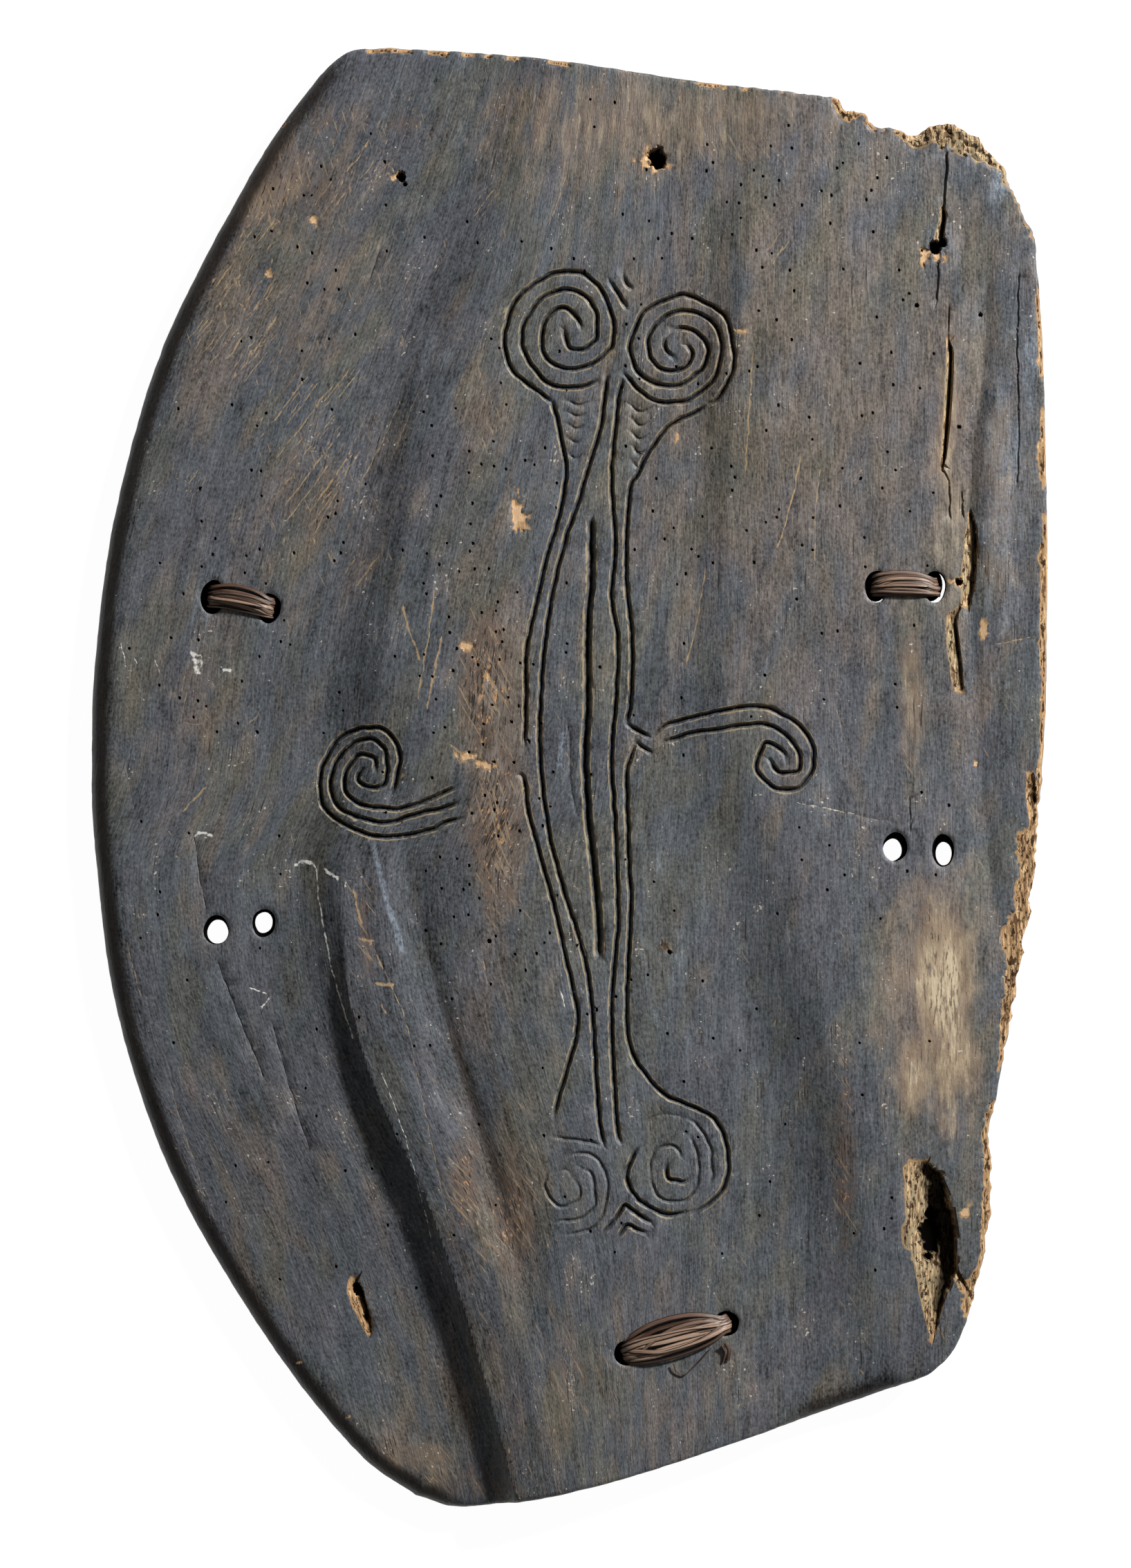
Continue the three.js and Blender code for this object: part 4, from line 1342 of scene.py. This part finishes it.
def wind(holes, bundle):
    """The path of one strip wound through two holes, with its directions, widths and masks."""
    run_half, leg_half, clear, under, over, strip_width, arch = bundle
    one, two = np.array(holes[0][:2], float), np.array(holes[1][:2], float)
    middle, along = (one + two) / 2, two - one
    reach = np.linalg.norm(along) / 2
    along /= 2 * reach
    across = np.array([along[1], -along[0]])
    ends = np.array([one, two])
    front_slope = np.diff(front_height(*ends.T))[0] / (2 * reach)
    back_slope = np.diff(back_height(*ends.T))[0] / (2 * reach)
    reach += LEG_OUT
    top = front_height(*middle[:, None])[0] + clear
    low = max(FLOOR_MIDDLE, back_height(*middle[:, None])[0] - BACK_STAND)
    centre, rise = (top + low) / 2, (top - low) / 2
    power = 2 / SQUARENESS
    first, second = order_of_turns(under, over)
    chance = loosen(under, over, strip_width)
    from_one, from_two = chance["in_hole"]
    rows = {name: [] for name in ("centre", "side", "out", "width", "tone_and_shade", "shade", "along")}
    for step in range((under + over) * STEPS_A_TURN):
        turn, phase = divmod(step / STEPS_A_TURN, 1.0)
        k = int(turn)
        angle = math.pi - 2 * math.pi * phase
        c, s = math.cos(angle), math.sin(angle)
        if phase < 0.5:
            place = ease(first[k], second[k], 2 * phase)
        else:
            place = ease(second[k], first[k + 1], 2 * phase - 1)
        stops = (from_one[k], chance["in_front"][k], from_two[k], chance["behind"][k], from_one[k + 1])
        quarter = int(4 * phase)
        layer = ease(stops[quarter], stops[quarter + 1], 4 * phase - quarter)
        out_x = rounded_power(c, 2 - power) / reach
        out_z = rounded_power(s, 2 - power) / rise
        size = math.hypot(out_x, out_z)
        out_x, out_z = out_x / size, out_z / size
        run = reach * rounded_power(c, power) + out_x * layer
        swell = 1 - min(1.0, abs(run / reach + 0.12)) ** 2.4
        lateral = place * (leg_half + (run_half - leg_half) * swell) - arch * swell * max(0.0, s)
        lateral += run_half * chance["sway"][k] * swell * max(0.0, s) * (1 - abs(place))
        lateral += 1.1 * noise.noise(Vector((step / 9, middle[0], 1.0)))
        slope = back_slope + (front_slope - back_slope) * (1 + s) / 2
        height = centre + rise * rounded_power(s, power) + out_z * layer + slope * run
        flat = middle + along * run + across * lateral
        lean = (chance["twist"][k] + 0.5 * place) * abs(s)
        side = np.array([across[0], across[1], 0.0])
        out = np.array([along[0] * out_x, along[1] * out_x, out_z])
        below_front = front_height(*flat[:, None])[0] - height
        above_back = height - back_height(*flat[:, None])[0] + 2
        rows["centre"].append(np.array([flat[0], flat[1], max(FLOOR_CLEAR, height)]))
        rows["side"].append(side * math.cos(lean) - out * math.sin(lean))
        rows["out"].append(out * math.cos(lean) + side * math.sin(lean))
        rows["width"].append(chance["width"][k])
        rows["tone_and_shade"].append(chance["tone_and_shade"][k])
        rows["shade"].append(float(smoothstep(1.0, 8.0, min(below_front, above_back))))
        rows["along"].append(STEP_LENGTH * step)
    return rows


print(f"steps along one turn: {STEPS_A_TURN}")

# %% [markdown]
# Inside a hole the turns crowd close, so a flat plug stands for them, painted black as shade. At
# the lower lashing a thin thread and two short stubs have come loose, and they are swept like the strip.

# %% The cane inside the holes
PAD_POINTS = 24
# Size and depth of each ring of a pad
PAD_LEVELS = ((0.4, 7.0), (1.06, 8.0), (1.06, 10.0), (0.4, 11.0))
# The pads of the upper right lashing sit a little aside and let light through past them
PAD_SHIFT = {"cane_lashing_upper_right": [(0.0, 1.6), (-3.2, 2.0)]}


def hole_pad(hole, first, shift):
    """The crowded cane inside a hole, a little below the surface and painted black as shade: its points,
    faces and masks.
    """
    x, y, rx, ry = hole[:4]
    z = front_height(np.array([x]), np.array([y]))[0]
    points = []
    for size, depth in PAD_LEVELS:
        for px, py in ring(x + shift[0], y + shift[1], rx * size, ry * size, PAD_POINTS):
            points.append(np.array([px, py, z - depth]))
    last = first + PAD_POINTS * (len(PAD_LEVELS) - 1)
    pad_faces = [tuple(first + i for i in range(PAD_POINTS))]
    pad_faces.append(tuple(last + i for i in reversed(range(PAD_POINTS))))
    for level in range(len(PAD_LEVELS) - 1):
        a, b = first + level * PAD_POINTS, first + (level + 1) * PAD_POINTS
        for i in range(PAD_POINTS):
            j = (i + 1) % PAD_POINTS
            pad_faces.append((a + j, a + i, b + i, b + j))
    # The pad is painted black all over as shade
    none = np.zeros(len(points))
    return points, pad_faces, {"tone_and_shade": none, "shade": none + 1, "along": none, "across": none, "edge": none}


print(f"rings of a pad: {len(PAD_LEVELS)}")

# %% Loose ends
# Points with their height over the wood, and the width of the bit
LOOSE_ENDS = {
    "cane_lashing_lower": [
        ([(113, -452, 2), (104, -462, 3), (92, -473, 2), (85, -470, 1.5), (83, -464, 3)], 0.9),
        ([(124, -448, 3), (127, -454, 3), (126, -462, 1.5)], 3.0),
        ([(121, -450, 3), (124, -456, 2), (122, -464, 1)], 1.6),
    ],
}
LOOSE_STEP = 1.5
LOOSE_TINT = 0.2


def loose_end(points, width):
    """The path of a loose bit of cane above the front."""
    table = np.array(points, float)
    flat = curve_through(table[:, :2], LOOSE_STEP)
    part = np.linspace(0, len(table) - 1, len(flat))
    lift = np.interp(part, np.arange(len(table)), table[:, 2])
    count = len(flat)
    return {
        "centre": np.column_stack([flat, front_height(*flat.T) + lift]),
        "side": np.column_stack([normals_of(flat), np.zeros(count)]),
        "out": np.tile([0.0, 0.0, 1.0], (count, 1)),
        "width": np.full(count, width),
        "tone_and_shade": np.full(count, LOOSE_TINT),
        "shade": np.zeros(count),
        "along": LOOSE_STEP * np.arange(count),
    }


print(f"loose ends: {sum(len(bits) for bits in LOOSE_ENDS.values())}")

# %% Build the lashings
CANE_SHARP = 50


def build_lashing(node_name, holes):
    """The wound strip, the pads in its holes and any loose ends, as one mesh."""
    points, faces, cane_masks = sweep(wind(holes, BUNDLES[node_name]), 0)
    parts = [cane_masks]
    for hole, shift in zip(holes, PAD_SHIFT.get(node_name, [(0, 0), (0, 0)])):
        more, more_faces, more_masks = hole_pad(hole, len(points), shift)
        points, faces = points + more, faces + more_faces
        parts.append(more_masks)
    for bit, width in LOOSE_ENDS.get(node_name, []):
        more, more_faces, more_masks = sweep(loose_end(bit, width), len(points))
        points, faces = points + more, faces + more_faces
        parts.append(more_masks)
    joined = {name: np.concatenate([part[name] for part in parts]) for name in cane_masks}
    piece = mesh_object(node_name.replace("cane_lashing", "wound_cane"), points, faces, joined)
    finish_mesh(piece, CANE_SHARP)
    return piece


lashings = {node_name: build_lashing(node_name, holes) for node_name, holes in LASHING_HOLES.items()}
print(f"lashings wound: {len(lashings)}")

# %% [markdown]
# ## Old smoked wood
# The plank is a light root wood, blackened by smoke and polished by hands. To the eye that gives a dark blue
# grey with a soft sheen, warm brown where it has rubbed, and tan raw wood where it has broken. The pattern is
# layers of noise drawn out along the grain, in millimetres, and the masks say where each layer shows.

# %% A helper for colours and one for nodes
def hex_colour(code):
    """An sRGB hex value as linear RGBA."""
    parts = [int(code[i:i + 2], 16) / 255 for i in (1, 3, 5)]
    return (*[p / 12.92 if p <= 0.04045 else ((p + 0.055) / 1.055) ** 2.4 for p in parts], 1.0)


def add_node(tree, kind, inputs, **settings):
    """Adds a node. Each input is a value for the socket or an output to link to it."""
    made_node = tree.nodes.new(kind)
    for name, value in settings.items():
        setattr(made_node, name, value)
    for socket, value in inputs.items():
        if isinstance(value, bpy.types.NodeSocket):
            tree.links.new(value, made_node.inputs[socket])
        else:
            made_node.inputs[socket].default_value = value
    return made_node


def new_material(name):
    """An empty material to add nodes to."""
    material = bpy.data.materials.new(name)
    material.use_nodes = True
    material.node_tree.nodes.clear()
    return material


print("white is", [round(v, 2) for v in hex_colour("#ffffff")])

# %% [markdown]
# The wood has many layers, but they are all made alike: a noise, drawn out along the grain, for each kind of
# unevenness, and a coat of colour for each thing that has happened to the wood. A coat adds up some noises
# and masks and shows where the sum is high. Tables of noises and coats are easier to tune than a wide net of
# nodes made by hand.

# %% Noises and coats of the wood
# Length of a cell across the grain, along it and through the plank in millimetres, detail, and turn in
# degrees
WOOD_NOISE = {
    "hair": ((1.5, 13, 3), 3, 0),
    "pore": ((1.9, 2.8, 3), 2, 0),
    "blotch": ((8, 19, 12), 3, 0),
    "streak": ((7, 110, 20), 4, 0),
    "mottle": ((24, 46, 30), 4, 0),
    "cloud": ((110, 170, 100), 2, 0),
    "hue": ((20, 60, 30), 1, 6),
    "stain": ((40, 90, 60), 1, 14),
    "smear": ((8, 44, 20), 5, 0),
    "fibre": ((1.9, 11, 3), 3, 0),
    "scuff": ((2.0, 30, 3), 2, -32),
    "fleck": ((2.0, 3.2, 3), 2, 0),
    "speck": ((2.6, 2.6, 2.6), 0, 0),
    "split": ((1.4, 34, 3), 2, 0),
    "crumb": ((2.8, 6, 3), 4, 0),
}
# How strongly each noise, and the soot with its painted shade, darkens and lightens the smoked skin
SKIN_LIGHT = {
    "hair": 1.8, "pore": 2.2, "blotch": 0.7, "streak": 1.1, "mottle": 0.8, "cloud": 0.5, "soot_and_shade": -0.5,
}
# Each coat: colour, strength, the sum where it starts and where it is full, and what is summed
SKIN_COATS = [
    ("#70675e", 1.0, 0.82, 1.45, {"warm": 1.0, "hue": 1.5}),
    ("#626051", 0.4, 0.5, 0.66, {"stain": 1.0}),
    ("#645f67", 0.25, -0.5, -0.36, {"stain": -1.0}),
    # Blue grey bloom and painted sheen
    ("#838c97", 0.85, 0.9, 1.6, {"bloom": 1.0, "smear": 1.4}),
]
MARK_COATS = [
    ("#8b735c", 0.8, 0.95, 1.8, {"pale": 1.0, "mottle": 1.6}),
    ("#c4b092", 0.85, 2.2, 3.5, {"pale": 1.2, "smear": 2.0, "blotch": 1.6}),
    ("#dcc9a8", 0.6, 4.1, 4.7, {"pale": 1.0, "fibre": 3.0, "smear": 3.0}),
    ("#6a594a", 0.75, -1.65, -1.25, {"pale": 1.0, "fibre": -6.0}),
    ("#6b584b", 0.65, 0.85, 1.3, {"rubbed": 1.0, "blotch": 1.0}),
    ("#cb9a68", 0.9, 5.5, 5.85, {"rubbed": 2.0, "blotch": 0.8, "crumb": 6.0}),
    ("#241d19", 0.85, -1.3, -0.9, {"rubbed": 2.0, "fibre": -6.0}),
    ("#9f8a70", 0.8, 2.2, 2.5, {"rubbed": 0.5, "mottle": 0.8, "scuff": 2.6}),
    ("#89817a", 0.6, 2.05, 2.4, {"hair": 2.0, "mottle": 1.4, "warm": 0.4}),
    ("#97918a", 0.75, 1.95, 2.2, {"fleck": 2.0, "mottle": 1.2}),
    ("#cfc8ba", 0.85, 1.26, 1.32, {"speck": 1.0, "mottle": 0.8}),
    ("#211d1a", 0.85, 1.02, 1.14, {"split": 1.0, "mottle": 0.7}),
    # Soot, with the painted shade of the folds, crease and rim
    ("#221a14", 0.85, 0.75, 1.3, {"soot_and_shade": 1.0, "blotch": 0.4}),
    ("#99896c", 0.85, 2.2, 3.0, {"carved": 2.0, "crumb": 3.0}),
    ("#b39872", 0.9, 2.2, 2.95, {"scratch": 2.0, "crumb": 2.5}),
    ("#ad8a63", 1.0, 0.8, 1.15, {"raw": 1.0, "crumb": 0.9}),
    ("#998b6f", 0.9, 1.25, 1.7, {"raw": 1.0, "dusty": 1.0}),
    ("#dfbd90", 0.8, 6.5, 6.95, {"raw": 4.5, "hair": 5.0}),
    ("#5e4430", 0.9, 6.6, 6.95, {"raw": 4.5, "fibre": 5.0}),
    ("#2b1e17", 0.9, 6.8, 7.1, {"raw": 4.0, "crumb": 6.0}),
    ("#e4e2da", 1.0, 1.05, 1.35, {"chalk": 1.0, "speck": 0.8}),
    ("#dcb68c", 0.85, 1.55, 1.85, {"raw": 1.0, "chalk": 1.0, "crumb": 0.8}),
    # Painted shade: near black in grooves, cracks, slots, pits, worm holes and hole walls
    ("#0b0908", 1.0, 0.0, 1.0, {"painted_shade": 1.0}),
]
# How strongly each noise raises the skin
SKIN_HEIGHT = {"hair": 0.8, "pore": 0.7, "blotch": 0.5, "split": -0.4}
print(f"noises: {len(WOOD_NOISE)}, coats: {len(SKIN_COATS) + len(MARK_COATS)}")

# %% Helpers that lay coats
# The Mix node's sockets for colours go by number, because those for other types have the same names
FACTOR, COLOUR_A, COLOUR_B, MIXED = 0, 6, 7, 2
MM_A_METRE = 1000


def grain_layers(tree):
    """Every noise and every mask of the board, as outputs by name."""
    layers = {}
    for name in board_masks:
        layers[name] = add_node(tree, "ShaderNodeAttribute", {}, attribute_name=name).outputs["Fac"]
    place = add_node(tree, "ShaderNodeTexCoord", {}).outputs["Object"]
    parts = add_node(tree, "ShaderNodeSeparateXYZ", {"Vector": place}).outputs
    grain = add_node(tree, "ShaderNodeCombineXYZ", {"X": layers["flow"], "Y": parts["Y"], "Z": parts["Z"]})
    for name, (size, detail, turn) in WOOD_NOISE.items():
        turned = add_node(tree, "ShaderNodeMapping", {
            "Vector": grain.outputs[0], "Rotation": (0, 0, math.radians(turn)),
        })
        scaled = add_node(tree, "ShaderNodeMapping", {
            "Vector": turned.outputs[0], "Scale": tuple(MM_A_METRE / length for length in size),
        })
        layers[name] = add_node(tree, "ShaderNodeTexNoise", {
            "Vector": scaled.outputs[0], "Scale": 1.0, "Detail": detail, "Roughness": 0.6,
        }).outputs["Fac"]
    return layers


def add_up(tree, layers, shares, start=0.0):
    """A start value plus a share of each named layer."""
    total = start
    for name, share in shares.items():
        inputs = {0: layers[name], 1: share, 2: total}
        total = add_node(tree, "ShaderNodeMath", inputs, operation="MULTIPLY_ADD").outputs[0]
    return total


def lay_coats(tree, layers, coats, colour):
    """Lays coats of colour over each other, each where its sum of layers is high."""
    for code, strength, low, high, shares in coats:
        part = add_node(tree, "ShaderNodeMapRange", {
            "Value": add_up(tree, layers, shares), "From Min": low, "From Max": high, "To Max": strength,
        }, interpolation_type="SMOOTHSTEP")
        colour = add_node(tree, "ShaderNodeMix", {
            FACTOR: part.outputs[0], COLOUR_A: colour, COLOUR_B: hex_colour(code),
        }, data_type="RGBA").outputs[MIXED]
    return colour


print(f"layers of the wood: {len(WOOD_NOISE) + len(board_masks)}")

# %% Smoked wood
SKIN_COLOUR = "#565a5f"
SKIN_BUMP = 0.0006
SKIN_GLOSS = 0.45


def smoked_wood():
    """Smoked root wood: dark and softly shining where hands have polished it, dull where it is raw."""
    material = new_material("smoked_root_wood")
    tree = material.node_tree
    layers = grain_layers(tree)
    skin = lay_coats(tree, layers, SKIN_COATS, hex_colour(SKIN_COLOUR))
    even = 1.0 - 0.5 * sum(share for share in SKIN_LIGHT.values() if share > 0)
    light = add_up(tree, layers, SKIN_LIGHT, even)
    shaded = add_node(tree, "ShaderNodeVectorMath", {"Vector": skin, "Scale": light}, operation="SCALE")
    colour = lay_coats(tree, layers, MARK_COATS, shaded.outputs[0])
    height = add_up(tree, layers, SKIN_HEIGHT)
    bump = add_node(tree, "ShaderNodeBump", {"Strength": 0.6, "Distance": SKIN_BUMP, "Height": height})
    gloss = add_up(tree, layers, {"painted_shade": -SKIN_GLOSS, "raw": -SKIN_GLOSS}, SKIN_GLOSS)
    gloss = add_node(tree, "ShaderNodeMath", {0: gloss, 1: 0.0}, operation="MAXIMUM")
    surface = add_node(tree, "ShaderNodeBsdfPrincipled", {
        "Base Color": colour, "Roughness": add_up(tree, layers, {"mottle": 0.3, "raw": 0.3}, 0.36),
        "Normal": bump.outputs[0], "Specular IOR Level": gloss.outputs[0],
    })
    add_node(tree, "ShaderNodeOutputMaterial", {"Surface": surface.outputs[0]})
    return material


board.data.materials.append(smoked_wood())
print("material:", board.data.materials[0].name)

# %% [markdown]
# ## Split cane
# Rattan cane is split into strips with a hard, shiny skin. Age has browned it to warm brown ribbons with fine
# fibres along them. Shade is painted on: darker turns beneath, dark strip sides, and near black down in the
# holes.

# %% Split cane
# Cells of noise in each millimetre along the strip, across it and through it
CANE_NOISE = {"fibre": (0.1, 2.4, 0.0), "patch": (0.03, 0.15, 0.0)}
CANE_COATS = [
    ("#b39681", 1.0, 0.0, 1.0, {"tone_and_shade": 1.0}),
    ("#33221a", 0.7, 0.47, 0.66, {"fibre": 1.0}),
    ("#5d4636", 0.6, 0.5, 0.7, {"patch": 1.0}),
    # Painted shade: the sides of each strip darken to near black, between the strips
    ("#170f0b", 0.95, 0.6, 1.0, {"edge": 1.0, "fibre": 0.2}),
    ("#0d0907", 1.0, 0.0, 1.0, {"shade": 1.0}),
]
CANE_COLOUR = "#563b2c"
CANE_BUMP = 0.0004
CANE_GLOSS = 0.45


def split_cane():
    """The hard skin of split cane: smooth, with fibres along it, painted shade at its sides and painted black
    in the holes.
    """
    material = new_material("split_cane_skin")
    tree = material.node_tree
    layers = {}
    for name in ("tone_and_shade", "shade", "edge", "along", "across"):
        layers[name] = add_node(tree, "ShaderNodeAttribute", {}, attribute_name=name).outputs["Fac"]
    strip = add_node(tree, "ShaderNodeCombineXYZ", {"X": layers["along"], "Y": layers["across"]})
    for name, scale in CANE_NOISE.items():
        scaled = add_node(tree, "ShaderNodeMapping", {"Vector": strip.outputs[0], "Scale": scale})
        inputs = {"Vector": scaled.outputs[0], "Scale": 1.0, "Detail": 2.0}
        layers[name] = add_node(tree, "ShaderNodeTexNoise", inputs).outputs["Fac"]
    colour = lay_coats(tree, layers, CANE_COATS, hex_colour(CANE_COLOUR))
    bump = add_node(tree, "ShaderNodeBump", {
        "Strength": 0.6, "Distance": CANE_BUMP, "Height": layers["fibre"],
    })
    gloss = add_up(tree, layers, {"shade": -CANE_GLOSS}, CANE_GLOSS)
    surface = add_node(tree, "ShaderNodeBsdfPrincipled", {
        "Base Color": colour, "Roughness": 0.42, "Normal": bump.outputs[0], "Specular IOR Level": gloss,
    })
    add_node(tree, "ShaderNodeOutputMaterial", {"Surface": surface.outputs[0]})
    return material


cane = split_cane()
for piece in lashings.values():
    piece.data.materials.append(cane)
print("material:", cane.name)

# %% [markdown]
# ## Stage, light and camera
# The shield lies on a plain pale floor, and the camera looks straight down on it. The floor glows a little,
# as a light table does, so the empty holes show white. One lamp from the upper right rakes across the
# carving, so each groove has a dark wall and a bright one, and a dim sky fills the shadows.

# %% Floor and light
FLOOR_SIZE = 12.0
FLOOR_GLOW = 0.97
LAMP_PLACE = (4.1, 3.4, 2.8)
LAMP_SIZE = 0.8
LAMP_POWER = 570
SKY_STRENGTH = 0.12


def plain_floor():
    """A pale floor that glows a little."""
    bpy.ops.mesh.primitive_plane_add(size=FLOOR_SIZE, location=(0, 0, 0))
    floor = bpy.context.active_object
    floor.name = "floor"
    material = new_material("pale_floor")
    tree = material.node_tree
    surface = add_node(tree, "ShaderNodeBsdfPrincipled", {
        "Base Color": hex_colour("#555555"), "Roughness": 0.9,
        "Emission Color": hex_colour("#ffffff"), "Emission Strength": FLOOR_GLOW,
    })
    add_node(tree, "ShaderNodeOutputMaterial", {"Surface": surface.outputs[0]})
    floor.data.materials.append(material)
    floor.select_set(False)


def lamp(name, place, aim, size, power):
    """A round lamp at a place, turned towards its aim."""
    data = bpy.data.lights.new(name, "AREA")
    data.shape = "DISK"
    data.size = size
    data.energy = power
    made_object = bpy.data.objects.new(name, data)
    bpy.context.collection.objects.link(made_object)
    made_object.location = place
    made_object.rotation_euler = (Vector(aim) - Vector(place)).to_track_quat("-Z", "Y").to_euler()


plain_floor()
lamp("key_lamp", LAMP_PLACE, (0, 0, 0), LAMP_SIZE, LAMP_POWER)
world = bpy.data.worlds.new("soft_sky")
bpy.context.scene.world = world
world.use_nodes = True
sky = world.node_tree.nodes["Background"].inputs
sky["Color"].default_value = hex_colour("#ffffff")
sky["Strength"].default_value = SKY_STRENGTH
bpy.context.scene.view_settings.view_transform = "Standard"
print("stage lit by one lamp and the sky")

# %% Camera
IMAGE_SIZE = (1636, 2268)
MM_PER_PIXEL = 0.55
OBJECT_MIDDLE_PIXEL = (822.5, 1124)
CAMERA_HEIGHT = 3.5
FACE_HEIGHT = 0.015
SENSOR = 36.0
aim_x = (IMAGE_SIZE[0] / 2 - OBJECT_MIDDLE_PIXEL[0]) * MM_PER_PIXEL * MM
aim_y = (OBJECT_MIDDLE_PIXEL[1] - IMAGE_SIZE[1] / 2) * MM_PER_PIXEL * MM
camera_data = bpy.data.cameras.new("camera")
camera_data.sensor_width = SENSOR
camera_data.lens = SENSOR * CAMERA_HEIGHT / (IMAGE_SIZE[1] * MM_PER_PIXEL * MM)
camera = bpy.data.objects.new("camera", camera_data)
bpy.context.collection.objects.link(camera)
camera.location = (aim_x, aim_y, CAMERA_HEIGHT + FACE_HEIGHT)
bpy.context.scene.camera = camera
print(f"camera lens {camera_data.lens:.0f} mm")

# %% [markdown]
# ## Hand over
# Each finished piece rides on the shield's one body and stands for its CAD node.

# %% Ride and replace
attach(board, "root")
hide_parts("shield_board")
for node_name, piece in lashings.items():
    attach(piece, "root")
    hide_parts(node_name)
